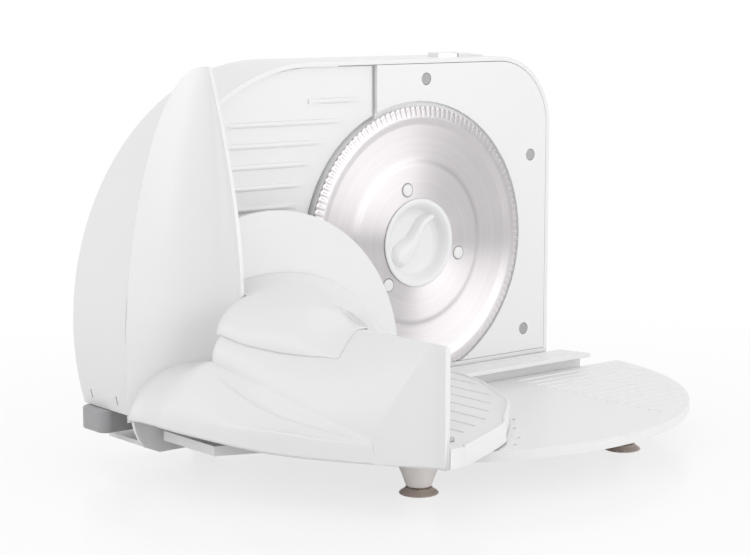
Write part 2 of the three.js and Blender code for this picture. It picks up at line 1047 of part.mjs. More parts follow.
function addBladePlate(parent) {
  const front = housing.frontY;
  const back = front + plate.thickness;
  const full = alongY(housingShape(housing.wall + gap), front, back);
  const leftPart = box(
    housing.archX - housing.archWidth,
    plate.left,
    front - overrun,
    back + overrun,
    housing.foot,
    top,
  );
  const round = rodY(blade.radius + plate.cutGap, front - overrun, back + overrun, 0, 0, 64);
  const holes = plugPlaces().map(
    ([x, z]) => rodY(plate.plugRadius + gap, front - overrun, back + overrun, x, z, 20),
  );
  const outer = blade.radius - collar.inset;
  const inner = outer - collar.wall;
  const collarFront = bladeBackY + collar.behind;
  const wall = ring(inner, outer, collarFront, collarFront + collar.depth, 0, 0, 96);
  const reach = blade.radius + plate.cutGap + collar.lap;
  const flangeBack = back + collar.flange;
  const flange = ring(inner, reach, back - gap, flangeBack, 0, 0, 96);
  const leftFlange = box(-reach - overrun, plate.left, front, flangeBack + overrun, -reach, reach);
  const sheet = cut(full, [leftPart, round, ...holes]);
  const foot = housing.foot + housing.wall + gap;
  const under = box(-reach, reach, front - overrun, backY, -reach - overrun, foot);
  const held = cut(joined([wall, flange.subtract(leftFlange)]), [under]);
  piece(parent, "blade_plate", joined([sheet, held]), whitePlastic);
  plugPlaces().forEach(([x, z], i) => {
    const plug = rodY(plate.plugRadius, front + gap, back, x, z, 20);
    piece(parent, "plate_plug_" + (i + 1), plug, plugGrey);
  });
}

// Rear cover of the drive chamber, with the seat of the rear bush
function addRearCover(parent) {
  const front = backY - chamber.coverThickness + gap;
  const sheet = alongY(chamberShape(gap), front, backY);
  const seat = gear.journal + running + bush.wall + gap;
  const bushFront = gear.wheelY + gear.face + bush.flange;
  const holder = ring(seat, seat + chamber.wall, bushFront, front + gap);
  const holes = postPlaces().map(
    ([x, z]) => rodY(screw.shank + gap, front - overrun, backY + overrun, x, z, 12),
  );
  holes.push(rodY(gland.neck + gap, front - overrun, backY + overrun, gland.x, gland.z, 20));
  piece(parent, "rear_cover", cut(sheet.add(holder), holes), whitePlastic);
  postPlaces().forEach(([x, z], i) => {
    addScrew(parent, "cover_screw_" + (i + 1), screw, x, z, backY + gap);
  });
}

// A slotted screw whose head stands behind a face at headY and whose shank runs to the front
function addScrew(parent, name, size, x, z, headY) {
  const shape = turnedY(
    [
      [0, headY - size.length],
      [size.shank, headY - size.length],
      [size.shank, headY],
      [size.head, headY],
      [size.head * screwTop_share, headY + size.headHeight],
      [0, headY + size.headHeight],
    ],
    x,
    z,
    16,
  );
  const half = size.slot / 2;
  const deep = headY + size.headHeight;
  const slot = box(x - size.head, x + size.head, deep - half, deep + overrun, z - half, z + half);
  piece(parent, name, shape.subtract(slot), rodSteel);
}

function addGland(parent) {
  const inner = backY - chamber.coverThickness;
  const body = turnedY(
    [
      [gland.bore, inner],
      [gland.neck, inner],
      [gland.neck, backY + gap],
      [gland.radius, backY + gap],
      [gland.radius - overrun, backY + gland.flange],
      [gland.bore, backY + gland.flange],
      [gland.bore, inner],
    ],
    gland.x,
    gland.z,
    24,
  );
  piece(parent, "lead_gland", body, darkPlastic);
}

// Stop plate, flush with the blade's edge when it is set to nothing
const fenceFrontY = housing.frontY + fence.setting;
function addFence(parent) {
  const front = fenceFrontY;
  const back = front + fence.thickness;
  const full = alongY(housingShape(housing.wall + fence.sideGap), front, back);
  const right = plate.left - fence.plateGap;
  const rightPart = box(right, housing.right, front - overrun, back + overrun, housing.foot, top);
  const round = rodY(blade.radius + fence.bladeGap, front - overrun, back + overrun, 0, 0, 64);
  const ribs = fenceRibs(front);
  piece(parent, "stop_plate", joined([cut(full, [rightPart, round]), ...ribs]), whitePlastic);
}

function fenceRibs(front) {
  const made = [];
  const reach = blade.radius + fence.ribEnd;
  for (let i = 0; i < fence.ribs; i += 1) {
    const z = top - fence.ribTop - i * fence.ribPitch;
    const right = -Math.sqrt(reach * reach - Math.min(z * z, reach * reach));
    const height = housing.archHeight - housing.wall - fence.ribStart;
    const rise_share = (z - housing.archZ) / height;
    const span = (housing.archWidth - housing.wall - fence.ribStart) * Math.sqrt(
      1 - rise_share * rise_share,
    );
    const left = housing.archX - span + (i ? 0 : fence.ribStart * 4);
    const end = Math.min(right, plate.left - fence.ribEnd);
    const half = fence.ribWidth / 2;
    made.push(box(left, end, front - fence.ribRise, front + gap, z - half, z + half));
  }
  return made;
}

function addFenceCarrier(parent) {
  const front = fenceFrontY + fence.thickness + gap;
  const back = front + carrier.thickness;
  const x = carrier.x;
  const half = carrier.width / 2;
  const low = carrier.middleZ - carrier.height / 2;
  const body = box(x - half, x + half, front, back, low, low + carrier.height);
  const nut = rodY(carrier.nut, front, back + carrier.nutLength, x, carrier.middleZ, 24);
  const bore = spindle.radius + running;
  const hole = rodY(bore, front - overrun, back + carrier.nutLength + overrun, x, carrier.middleZ, 24);
  piece(parent, "stop_plate_carrier", body.add(nut).subtract(hole), innerPlastic);
  for (const [name, side] of [
    ["guide_rod_upper", 1],
    ["guide_rod_lower", -1],
  ]) {
    const start = back + gap;
    const z = carrier.middleZ + side * rod.spread;
    piece(parent, name, rodY(rod.radius, start, start + rod.length, x, z, 20), rodSteel);
  }
}

function addSpindle(parent) {
  const panelFront = backY - panel.thickness;
  const collarFront = panelFront - gap - spindle.collarLength;
  const end = backY + dial.thickness - dial.recessDepth - gap;
  const profile = [[0, spindle.frontY]];
  const pitch = (collarFront - overrun - spindle.frontY) / spindle.threads;
  for (let i = 0; i < spindle.threads; i += 1) {
    profile.push([spindle.radius - spindle.thread, spindle.frontY + i * pitch]);
    profile.push([spindle.radius, spindle.frontY + (i + 1 / 2) * pitch]);
  }
  profile.push(
    [spindle.radius - spindle.thread, collarFront],
    [spindle.collar, collarFront],
    [spindle.collar, panelFront - gap],
    [spindle.journal, panelFront - gap],
    [spindle.journal, end],
    [0, end],
  );
  const pilot = rodY(
    screw.shank + gap,
    end - screw.length,
    end + overrun,
    carrier.x,
    carrier.middleZ,
    12,
  );
  const body = turnedY(profile, carrier.x, carrier.middleZ, 20).subtract(pilot);
  piece(parent, "thickness_spindle", body, nylon);
}

function addDial(parent) {
  const front = backY + gap;
  const back = front + dial.thickness;
  const stepY = front + dial.step;
  const [start, end, low, high] = lobe_shares;
  const lobed = toothedShape(dial.lobes, [
    [start, dial.radius],
    [end, dial.radius],
    [low, dial.radius - dial.grip],
    [high, dial.radius - dial.grip],
  ]);
  const gripPart = alongY(lobed, stepY, back).translate([carrier.x, 0, carrier.middleZ]);
  const skirt = rodY(dial.radius + dial.grip, front, stepY + gap, carrier.x, carrier.middleZ, 40);
  const bore = rodY(
    spindle.journal + gap,
    front - overrun,
    back + overrun,
    carrier.x,
    carrier.middleZ,
    20,
  );
  const recess = rodY(
    dial.recess,
    back - dial.recessDepth,
    back + overrun,
    carrier.x,
    carrier.middleZ,
    20,
  );
  piece(parent, "thickness_dial", cut(gripPart.add(skirt), [bore, recess]), whitePlastic);
  addScrew(parent, "dial_screw", screw, carrier.x, carrier.middleZ, back - dial.recessDepth + gap);
}

// Switch module and buttons
function addSwitch(parent) {
  const middle = button.left + button.powerWidth;
  const right = middle + 2 * gap + button.safetyWidth;
  const high = top - switchBody.drop;
  const front = chamber.platY + chamber.plate + gap;
  const left = button.left - switchBody.side;
  const back = front + switchBody.depth;
  const body = box(left, right + switchBody.side, front, back, high - switchBody.height, high);
  const stems = [button.left + button.powerWidth / 2, middle + 2 * gap + button.safetyWidth / 2];
  const depth = switchBody.drop / 2;
  const wells = stems.map(
    (x) => rodZ(button.stem + running, high - depth, high + overrun, x, button.middleY, 16),
  );
  piece(parent, "switch_body", cut(body, wells), darkPlastic);
  addButton(
    parent,
    "power_button",
    button.left,
    button.powerWidth,
    button.powerRise,
    button.powerRise,
    chrome,
  );
  const safetyLeft = middle + 2 * gap;
  addButton(
    parent,
    "safety_button",
    safetyLeft,
    button.safetyWidth,
    button.safetyRise,
    button.safetyLow,
    whitePlastic,
  );
  stems.forEach((x, i) => {
    addSpring(parent, i ? "safety_spring" : "power_spring", x, high + gap);
  });
}

// A cap in the top wall, a lip under it and a stem into the switch
function addButton(parent, name, left, width, riseLeft, riseRight, material) {
  const front = button.middleY - button.depth / 2;
  const back = button.middleY + button.depth / 2;
  const under = ceiling - gap;
  const shape = outline([
    [left, under - gap],
    [left + width, under - gap],
    [left + width, top + riseRight],
    [left + width / 3, top + riseLeft],
    [left, top + riseLeft],
  ]);
  const cap = alongY(shape, front, back);
  const inner = button.lip / 2;
  const lip = box(left, left + width, front - inner, back + inner, under - button.lipThickness, under);
  const x = left + width / 2;
  const stemLow = top - switchBody.drop - switchBody.drop / 2 + button.travel + gap;
  const stem = rodZ(button.stem, stemLow, under, x, button.middleY, 16);
  piece(parent, name, joined([cap, lip, stem]), material);
}

function addSpring(parent, name, x, low) {
  const high = ceiling - gap - button.lipThickness - gap;
  const pitch = (high - low - 2 * spring.wire) / spring.turns;
  const wire = helix(
    x,
    button.middleY,
    spring.radius - spring.wire,
    2 * spring.wire,
    spring.wire,
    spring.wire,
    pitch,
    spring.turns,
    spring.steps,
    low + spring.wire,
    0,
  );
  piece(parent, name, wire, rodSteel);
}

// Base outline in X and Y: a half ellipse in front of a straight back edge, cut straight on the left
function basePlan(inset) {
  const wide = base.halfWidth - inset;
  const deep = base.halfDepth - inset;
  const back = base.plateBackY - inset;
  const left = base.left + inset;
  const tabFront = base.tabFrontY + inset;
  const stripBack = base.stripBackY - inset;
  const stripRight = base.left + base.stripWidth - inset;
  const startAngle = Math.PI + Math.asin(-(base.tabEndY + inset) / deep);
  const endAngle = 2 * Math.PI - Math.asin(-back / deep);
  const shape = new THREE.Shape();
  shape.moveTo(left, stripBack);
  shape.lineTo(stripRight, stripBack);
  shape.lineTo(stripRight, back);
  shape.lineTo(base.middleX + wide * Math.cos(endAngle), back);
  shape.absellipse(base.middleX, 0, wide, deep, endAngle, startAngle, true, 0);
  shape.lineTo(left, tabFront);
  shape.closePath();
  return shape;
}
function addBase(parent) {
  const rimLow = base.topZ - base.rim;
  const skirt = alongZ(basePlan(0), rimLow, base.topZ, 24);
  const under = alongZ(basePlan(base.rimWall), rimLow - overrun, base.topZ - base.sheet, 24);
  const plateShell = skirt.subtract(under);
  const floorHigh = base.floorZ + base.floor;
  const trayBack = beam.backY;
  const front = base.plateBackY - base.rimWall;
  const right = rail.right - rail.slant;
  const tray = box(base.left, right, base.frontWallY, trayBack, base.floorZ, floorHigh);
  const seatFront = box(base.seatLeft, right, front, base.frontWallY + gap, base.floorZ, floorHigh);
  const step = box(
    base.seatLeft,
    rail.right - rail.slant,
    front,
    base.plateBackY,
    base.floorZ,
    base.topZ - base.sheet,
  );
  const wallHigh = housing.foot - gap;
  const wallHeight = wallHigh - base.floorZ;
  const wallShape = outline([
    ...wallEnd_shares.map(([a, b]) => [base.frontLeft + a * base.slant, wallHigh - b * wallHeight]),
    [housing.right, base.floorZ],
    [housing.right, wallHigh],
  ]);
  const wall = alongY(wallShape, base.frontWallY, base.frontWallY + base.frontWall);
  const studs = [base.left / 2, base.middleX, housing.right / 2].map((x) => {
    const high = housing.foot - gap - beam.height - gap;
    return box(
      x - beam.stud,
      x + beam.stud,
      beam.frontY + beam.stud,
      trayBack - beam.stud,
      floorHigh - gap,
      high,
    );
  });
  const railSeat = box(
    base.seatLeft,
    right,
    base.plateBackY - gap,
    base.frontWallY + gap,
    floorHigh - gap,
    railFootZ(),
  );
  const bosses = [foot.frontLeft, foot.frontRight].map((x) => {
    return rodZ(foot.shoulder, rimLow, base.topZ - base.sheet / 2, x, foot.frontY, 24);
  });
  const plan = alongZ(basePlan(gap), rimLow - gap, base.topZ, 24);
  const pads = bosses.map((boss) => boss.intersect(plan));
  const parts = [plateShell, tray, seatFront, step, wall, railSeat, ...studs, ...pads, ...baseRibs()];
  piece(parent, "base", cut(joined(parts), baseSlots()), whitePlastic);
}

function railFootZ() {
  return base.floorZ + base.floor + overrun;
}

// Long ribs on the right part of the base
function baseRibs() {
  const made = [];
  for (let i = 0; i < base.ribs; i += 1) {
    const y = base.plateBackY - base.ribPitch * (i + 1);
    const reach_share = y / (base.halfDepth - base.ribPitch / 2);
    if (reach_share * reach_share >= 1) continue;
    const right = base.middleX + (base.halfWidth - base.ribPitch / 2) * Math.sqrt(
      1 - reach_share * reach_share,
    );
    if (right - base.ribStartX < base.ribPitch) continue;
    const half = base.ribWidth / 2;
    made.push(box(base.ribStartX, right, y - half, y + half, base.topZ - gap, base.topZ + base.ribRise));
  }
  return made;
}

// An arc of small slots in the base beside the platform's free edge
function baseSlots() {
  const half = base.slotWidth / 2;
  const low = base.topZ - base.slotDepth;
  return baseSlot_shares.map(([a, b]) => {
    const x = a * base.halfWidth;
    const y = b * base.halfDepth;
    const turn = Math.atan2(y - carriage.backY, x - carriage.ridgeX);
    const slot = box(-half, half, -base.slotLength / 2, base.slotLength / 2, low, base.topZ + overrun);
    return slot.rotate([0, 0, THREE.MathUtils.radToDeg(turn)]).translate([x, y, 0]);
  });
}

function addRail(parent) {
  const front = -rail.depth;
  const low = railFootZ() + gap;
  const lipLow = rail.topZ - rail.lip;
  const shape = outline([
    [rail.webFrontY, low],
    [rail.webBackY, low],
    [rail.webBackY, lipLow],
    [0, lipLow],
    [0, rail.topZ],
    [front, rail.topZ],
    [front, lipLow],
    [rail.webFrontY, lipLow],
  ]);
  const body = alongX(shape, rail.left, rail.right);
  const end = outline([
    [rail.right - rail.slant, overrun],
    [rail.right + overrun, overrun],
    [rail.right + overrun, front - overrun],
    [rail.right, front - overrun],
  ]);
  const grooves = Array.from({ length: rail.grooves }, (_, i) => {
    const y = -(rail.depth * (i + 1)) / (rail.grooves + 1);
    const half = rail.grooveWidth / 2;
    return box(
      rail.left - overrun,
      rail.right + overrun,
      y - half,
      y + half,
      rail.topZ - rail.groove,
      rail.topZ + overrun,
    );
  });
  const endCut = alongZ(end, low - overrun, rail.topZ + overrun);
  piece(parent, "carriage_rail", cut(body, [endCut, ...grooves]), whitePlastic);
}

// Grey beam under the back half of the housing
function addBeam(parent) {
  const high = housing.foot - gap;
  const low = high - beam.height;
  const shape = new THREE.Shape();
  const c = beam.corner;
  shape.moveTo(beam.left + c, beam.frontY);
  shape.lineTo(beam.right, beam.frontY);
  shape.lineTo(beam.right, beam.backY);
  shape.lineTo(beam.left + c, beam.backY);
  shape.absarc(beam.left + c, beam.backY - c, c, Math.PI / 2, Math.PI, false);
  shape.absarc(beam.left + c, beam.frontY + c, c, Math.PI, (3 * Math.PI) / 2, false);
  shape.closePath();
  piece(parent, "base_beam", alongZ(shape, low, high, 8), greyPaint);
}

function addFeet(parent) {
  const places = [
    ["front_left", foot.frontLeft, foot.frontY, base.topZ - base.rim],
    ["front_right", foot.frontRight, foot.frontY, base.topZ - base.rim],
    ["rear_left", foot.backLeft, foot.backY, base.floorZ],
    ["rear_right", foot.backRight, foot.backY, base.floorZ],
  ];
  for (const [place, x, y, high] of places) {
    const cupHigh = foot.cupHeight - standHeight;
    const low = cupHigh + gap;
    const flareZ = Math.min(low + foot.flareHeight, high - gap - foot.shoulderHeight);
    const flare = foot.neck + (foot.flare * (flareZ - low)) / foot.flareHeight;
    const cone = turnedZ(
      [
        [0, low],
        [foot.neck, low],
        [flare, flareZ],
        [Math.min(flare, foot.shoulder), high - gap],
        [0, high - gap],
      ],
      x,
      y,
      28,
    );
    const socket = rodZ(foot.stem + running, low - overrun, low + foot.stemHeight + gap, x, y, 16);
    piece(parent, "foot_" + place, cone.subtract(socket), footWhite);
    const cup = turnedZ(
      [
        [0, -standHeight],
        [foot.cup, -standHeight],
        [foot.cup, foot.cupEdge - standHeight],
        [foot.neck, cupHigh],
        [foot.stem, cupHigh],
        [foot.stem, cupHigh + foot.stemHeight],
        [0, cupHigh + foot.stemHeight],
      ],
      x,
      y,
      28,
    );
    piece(parent, "suction_cup_" + place, cup, cupClear);
  }
}

// Carriage floor: places on its sections across, at one distance from the face
function lineAt(y, startY, endY, start, end) {
  return start + ((end - start) * (y - startY)) / (endY - startY);
}

function footAt(y) {
  const { footStartY, footEndY, footX, footZ } = carriage;
  if (y > footStartY) {
    return [
      lineAt(y, footStartY, carriage.backY, footX, carriage.footBackX),
      lineAt(y, footStartY, carriage.backY, footZ, carriage.footBackZ),
    ];
  }
  return [
    lineAt(y, footStartY, footEndY, footX, carriage.footEndX),
    lineAt(y, footStartY, footEndY, footZ, carriage.footEndZ),
  ];
}

// Height of the floor's outer lip: it rises to pass over the rail
function lipAt(y) {
  const { railFrontY, skirtFrontY, lipZ, overRailZ, wall } = carriage;
  const along = Math.max(Math.min(y, railFrontY), skirtFrontY);
  return lineAt(along, skirtFrontY, railFrontY, lipZ, overRailZ + wall);
}

// Places on the ridge's outer slope above its foot, ending at the crest
function ridgeSlope(depth_share, footX, footZ) {
  const stops = slopePower_shares;
  const first = stops.findIndex(([share]) => share >= depth_share);
  const at = first < 0 ? stops.length - 1 : Math.max(first, 1);
  const [shareA, powerA] = stops[at - 1];
  const [shareB, powerB] = stops[at];
  const share = Math.min(Math.max(depth_share, stops[0][0]), stops[stops.length - 1][0]);
  const power = lineAt(share, shareA, shareB, powerA, powerB);
  const wide = lineAt(share, stops[0][0], 1, carriage.ridgeWidth, carriage.ridgeFrontWidth);
  const crestX = carriage.ridgeX - wide;
  const points = [];
  for (let i = 1; i <= carriage.slopeSteps; i += 1) {
    const angle = ((carriage.slopeSteps - i) * Math.PI) / 2 / carriage.slopeSteps;
    const across = Math.max(Math.sin(angle), 0) ** (2 / power);
    const up = Math.cos(angle) ** (2 / power);
    points.push([crestX + (footX - crestX) * across, footZ + (carriage.ridgeTop - footZ) * up]);
  }
  return points;
}

// Outer plan of the carriage body in X and Y, drawn in by an inset
function carriagePlan(inset) {
  const back = carriage.backY - inset;
  const right = carriage.ridgeX - inset;
  const points = carriageEdge();
  const moved = points.map(([x, y], i) => {
    const before = points[Math.max(i - 1, 0)];
    const after = points[Math.min(i + 1, points.length - 1)];
    const along = new THREE.Vector2(after[0] - before[0], after[1] - before[1]).normalize();
    return [x - along.y * inset, y + along.x * inset];
  });
  moved[0][1] = back;
  moved[moved.length - 1][0] = right;
  return outline([...moved, [right, back]]);
}

function carriageEdge() {
  const deep = carriage.backY - carriage.frontY;
  return plan_shares.map(([a, b]) => [carriage.ridgeX - a * planReach, carriage.backY - b * deep]);
}

// Floor and ridge as one solid a little past the plan, lowered and drawn in by an inset
function carriageMass(inset, footBack = carriage.backY) {
  const bottom = carriage.bottomZ - overrun;
  const edge = carriage.ridgeEdge;
  const ridge = carriage.ridgeX + overrun;
  const deep = carriage.backY - carriage.frontY;
  const stations = carriageEdge().map((place) => place[1]);
  stations.push(carriage.footStartY);
  stations.sort((a, b) => b - a);
  stations[0] += 2 * overrun;
  stations[stations.length - 1] -= 2 * overrun;
  const sections = stations.map((y) => {
    const along = Math.max(Math.min(y, carriage.backY), carriage.footEndY);
    const wide = passing(carriageEdge(), along, 1, 0) - overrun;
    const [footX, footZ] = footAt(Math.min(along, footBack));
    const x = Math.max(footX, wide + edge);
    const slope = ridgeSlope((carriage.backY - along) / deep, footX, footZ);
    const lipZ = lipAt(along);
    const midX = wide + hollow_shares.across * (x - wide);
    const midZ = lipZ + hollow_shares.up * (footZ - lipZ);
    const at = (a, c, moved = inset) => new THREE.Vector3(a + moved / 2, y, c - inset);
    return [
      at(wide, bottom + inset, 0),
      at(wide, lipZ, 0),
      at(midX, midZ),
      at(x, footZ),
      ...slope.map(([a, c]) => at(Math.max(a, x), c)),
      at(ridge, carriage.ridgeTop, 0),
      at(ridge, bottom + inset, 0),
    ];
  });
  return lofted(sections);
}

function underCut() {
  const low = carriage.bottomZ - 2 * overrun;
  const shape = outline([
    [carriage.frontY - overrun, low],
    [carriage.frontY - overrun, carriage.bottomZ],
    [carriage.skirtFrontY, carriage.bottomZ],
    [carriage.railFrontY, carriage.overRailZ],
    [carriage.backY + overrun, carriage.overRailZ],
    [carriage.backY + overrun, low],
  ]);
  return alongX(shape, carriage.ridgeX - planReach - overrun, platform.rightX + overrun);
}

function addCarriageBody(parent) {
  const low = carriage.bottomZ - overrun;
  const outer = carriageMass(0).intersect(alongZ(carriagePlan(0), low, top));
  const inner = carriageMass(carriage.wall).intersect(
    alongZ(carriagePlan(carriage.wall), low - overrun, top),
  );
  const clear = box(
    carriage.ridgeX - planReach - overrun,
    guard.x,
    carriage.backY - guard.depth,
    carriage.backY + overrun,
    carriage.footZ,
    carriage.ridgeTop + overrun,
  );
  const shell = cut(outer, [inner, clear, underCut()]);
  piece(parent, "carriage_body", shell.add(guardWall()), whitePlastic);
}

// Hand guard: each level is a quarter ellipse from the flange along the face to the wall
const guardRise_share = 1.65;
const guardDepth_share = 1.6;
function guardWall() {
  const low = carriage.overRailZ;
  const sections = [];
  for (let i = 0; i <= guard.levels; i += 1) {
    const share = i / guard.levels;
    const z = low + (guard.topZ - low) * Math.sin((share * Math.PI) / 2);
    const rise_share = Math.max(z - guard.middleZ, 0) / (guard.topZ - guard.middleZ);
    const reach_share = Math.sqrt(1 - rise_share ** guardRise_share);
    const reach = guard.tip + (guard.reach - guard.tip) * reach_share;
    const depthRise_share = Math.max(z - guard.depthMiddleZ, 0) / (guard.topZ - guard.depthMiddleZ);
    const depth = guard.tip + (guard.depth - guard.tip) * (1 - depthRise_share ** guardDepth_share);
    const front = carriage.backY - depth;
    const section = [];
    const t = guard.thickness;
    for (let k = 0; k <= guard.arcSteps; k += 1) {
      const angle = (k * Math.PI) / 2 / guard.arcSteps;
      section.push(
        new THREE.Vector3(guard.x - reach + reach * Math.sin(angle), front + depth * Math.cos(angle), z),
      );
    }
    for (let k = guard.arcSteps; k >= 0; k -= 1) {
      const angle = (k * Math.PI) / 2 / guard.arcSteps;
      const x = guard.x - reach + (reach + t) * Math.sin(angle);
      section.push(new THREE.Vector3(x, front + (depth + t) * Math.cos(angle), z));
    }
    sections.push(section);
  }
  return lofted(sections);
}

// Where a line of places passes a value of one axis, its value on the other axis
function passing(places, value, from, to) {
  const next = places.findIndex(
    (place, i) => i > 0 && (place[from] - value) * (places[i - 1][from] - value) <= 0,
  );
  const [before, after] = [places[next - 1], places[next]];
  return lineAt(value, before[from], after[from], before[to], after[to]);
}

function platformEdge() {
  const left = carriage.ridgeX + gap;
  const wide = platform.rightX - left;
  const deep = carriage.backY - carriage.frontY;
  return platform_shares.map(([a, b]) => [left + a * wide, carriage.backY - b * deep]);
}

function platformPlan(inset) {
  const left = carriage.ridgeX + gap - overrun * Math.sign(inset);
  const points = platformEdge();
  const moved = points.map(([x, y], i) => {
    const before = points[Math.max(i - 1, 0)];
    const after = points[Math.min(i + 1, points.length - 1)];
    const along = new THREE.Vector2(after[0] - before[0], after[1] - before[1]).normalize();
    return [x - along.y * inset, y + along.x * inset];
  });
  return outline([[left, moved[0][1]], ...moved, [left, carriage.backY]]);
}

function addPlatform(parent) {
  const high = platform.topZ;
  const mass = alongZ(platformPlan(0), carriage.bottomZ, high);
  const under = alongZ(platformPlan(platform.rimWall), carriage.bottomZ - overrun, high - platform.sheet);
  const grooves = Array.from({ length: platform.grooves - 1 }, (_, i) => {
    const x = platform.rightX - platform.groovePitch * (i + 1);
    const half = platform.groove / 2;
    const front = passing(platformEdge(), x, 0, 1) + platform.grooveInset;
    const back = carriage.backY - platform.grooveInset;
    return box(x - half, x + half, front, back, high - platform.grooveDepth, high + overrun);
  });
  const screwHole = rodZ(
    gripScrew.shank + running,
    carriage.bottomZ,
    high + overrun,
    platform.screwX,
    platform.screwY,
    12,
  );
  piece(parent, "food_platform", cut(mass, [under, underCut(), ...grooves, screwHole]), whitePlastic);
  const headLow = high + gap;
  const head = turnedZ(
    [
      [0, headLow - gripScrew.length],
      [gripScrew.shank, headLow - gripScrew.length],
      [gripScrew.shank, headLow],
      [gripScrew.head, headLow],
      [gripScrew.head, headLow + gripScrew.headHeight],
      [0, headLow + gripScrew.headHeight],
    ],
    platform.screwX,
    platform.screwY,
    16,
  );
  piece(parent, "platform_screw", head, rodSteel);
}

// Hook that runs under the rail's lip
function addRunner(parent) {
  const high = platform.topZ - platform.sheet - gap;
  const padLow = high - runner.pad;
  const legBack = -rail.depth - gap;
  const legFront = legBack - runner.leg;
  const low = high - runner.legDrop;
  const tongueHigh = rail.topZ - rail.lip - 2 * gap;
  const shape = outline([
    [carriage.backY - overrun, high],
    [legFront, high],
    [legFront, low],
    [legBack + runner.tongue, low],
    [legBack + runner.tongue, tongueHigh],
    [legBack, tongueHigh],
    [legBack, padLow],
    [carriage.backY - overrun, padLow],
  ]);
  const body = alongX(shape, carriage.ridgeX + carriage.wall, runner.right);
  piece(parent, "carriage_runner", body, nylon);
}

// Pusher: the room left round the ridge is that of its widest place, so that the pusher slides past
function ridgeClearance(distance) {
  return carriageMass(-distance, carriage.footStartY);
}

function addPusherPlate(parent) {
  const front = pusher.frontY;
  const back = front + pusher.thickness;
  const disc = rodY(pusher.radius, front, back, pusher.middleX, pusher.middleZ, 72);
  const low = platform.topZ + pusher.bottomGap;
  const left = guard.x + guard.thickness + pusher.guardGap;
  const far = pusher.middleX + pusher.radius + overrun;
  const under = box(
    -pusher.radius + pusher.middleX - overrun,
    far,
    front - overrun,
    back + overrun,
    pusher.middleZ - pusher.radius - overrun,
    low,
  );
  const sideCut = box(
    pusher.middleX - pusher.radius - overrun,
    left,
    front - overrun,
    back + overrun,
    low - pusher.radius,
    pusher.middleZ + pusher.radius,
  );
  const ridge = ridgeBlock(pusher.ridgeGap, front - overrun, back + overrun);
  const holes = gripScrewPlaces().map(
    ([x, z]) => rodY(gripScrew.shank + gap, front - overrun, back + overrun, x, z, 12),
  );
  const plain = cut(disc, [under, sideCut, ridge, ...holes]);
  const spikes = spike_shares.map(([a, b]) => {
    const x = carriage.ridgeX + overrun + a * (pusher.radius - pusher.wall * 5);
    const z = low + b * (pusher.radius - pusher.wall * 3);
    const shape = new THREE.ConeGeometry(pusher.spikeRadius, pusher.spike, pusher.spikeSides);
    shape.translate(x, back + pusher.spike / 2 - gap, z);
    return solid(shape);
  });
  piece(parent, "pusher_plate", joined([plain, ...spikes]), whitePlastic);
  gripScrewPlaces().forEach(([x, z], i) => {
    addScrew(parent, "grip_screw_" + (i + 1), gripScrew, x, z, back + gap);
  });
}

// What the ridge fills between two distances from the face, with clearance
function ridgeBlock(distance, front, back) {
  const slab = box(
    carriage.ridgeX - planReach - overrun,
    carriage.ridgeX + distance,
    front,
    back,
    carriage.bottomZ - overrun,
    top,
  );
  return ridgeClearance(distance).intersect(slab);
}

function gripScrewPlaces() {
  const high = (grip.topZ + carriage.ridgeTop) / 2;
  return gripScrew_shares.map((share) => {
    return [carriage.ridgeX + share * pusher.radius, high - (share * gripSpread.rightFoot) / 2];
  });
}

// Palm grip: arches from the plate to the front end of the grip, drawn in by an inset
function gripMass(inset, front, back) {
  const sections = [];
  for (const [along_share, left_share, right_share, drop_share] of grip_shares) {
    const y = back + (front - back) * along_share;
    const mix = (a, b) => a + (b - a) * along_share;
    const topX = mix(grip.topX, grip.frontTopX);
    const topZ = grip.topZ + (grip.frontTopZ - grip.topZ) * drop_share - inset;
    const left = gripSpread.frontLeft + (gripSpread.left - gripSpread.frontLeft) * left_share - inset;
    const right = gripSpread.frontRight + (gripSpread.right - gripSpread.frontRight) * right_share - inset;
    const leftFoot = gripSpread.frontFoot + (gripSpread.leftFoot - gripSpread.frontFoot) * left_share;
    const rightFoot = gripSpread.frontFoot + (gripSpread.rightFoot - gripSpread.frontFoot) * right_share;
    const section = [];
    for (let k = 0; k <= 2 * grip.arcSteps; k += 1) {
      const angle = Math.PI - (k * Math.PI) / 2 / grip.arcSteps;
      const onLeft = angle > Math.PI / 2 + weld;
      const power = onLeft ? gripLeft_share : 1;
      const across = Math.abs(Math.cos(angle)) ** power;
      const up = Math.abs(Math.sin(angle)) ** power;
      const x = topX + (onLeft ? -left : right) * across;
      const tall = onLeft ? leftFoot : rightFoot;
      section.push(new THREE.Vector3(x, y, topZ - tall + tall * up));
    }
    sections.push(section);
  }
  return lofted(sections);
}

function addPusherGrip(parent) {
  const back = pusher.frontY - gap;
  const outer = gripMass(0, grip.frontY, back);
  const wall = pusher.wall;
  const inner = gripMass(wall, grip.frontY + 3 * wall, back - wall);
  const down = inner.add(inner.translate([0, 0, -wall])).add(inner.translate([0, 0, -2 * wall]));
  const ridge = ridgeBlock(pusher.ridgeGap, grip.frontY - overrun, back + overrun);
  const guardX = guard.x + guard.thickness + pusher.guardGap;
  const guardFront = carriage.backY - guard.depth - pusher.guardGap;
  const guardSide = box(guardX - planReach, guardX, guardFront, back + overrun, carriage.bottomZ, top);
  const lowZ = platform.topZ + pusher.bottomGap;
  const under = box(
    guardX - planReach,
    platform.rightX,
    grip.frontY - overrun,
    back + overrun,
    lowZ - pusher.radius,
    lowZ,
  );
  const holes = gripScrewPlaces().map(
    ([x, z]) => rodY(gripScrew.shank + gap, back - gripScrew.length, back + overrun, x, z, 12),
  );
  piece(parent, "pusher_grip", cut(outer, [down, ridge, guardSide, under, ...holes]), whitePlastic);
}

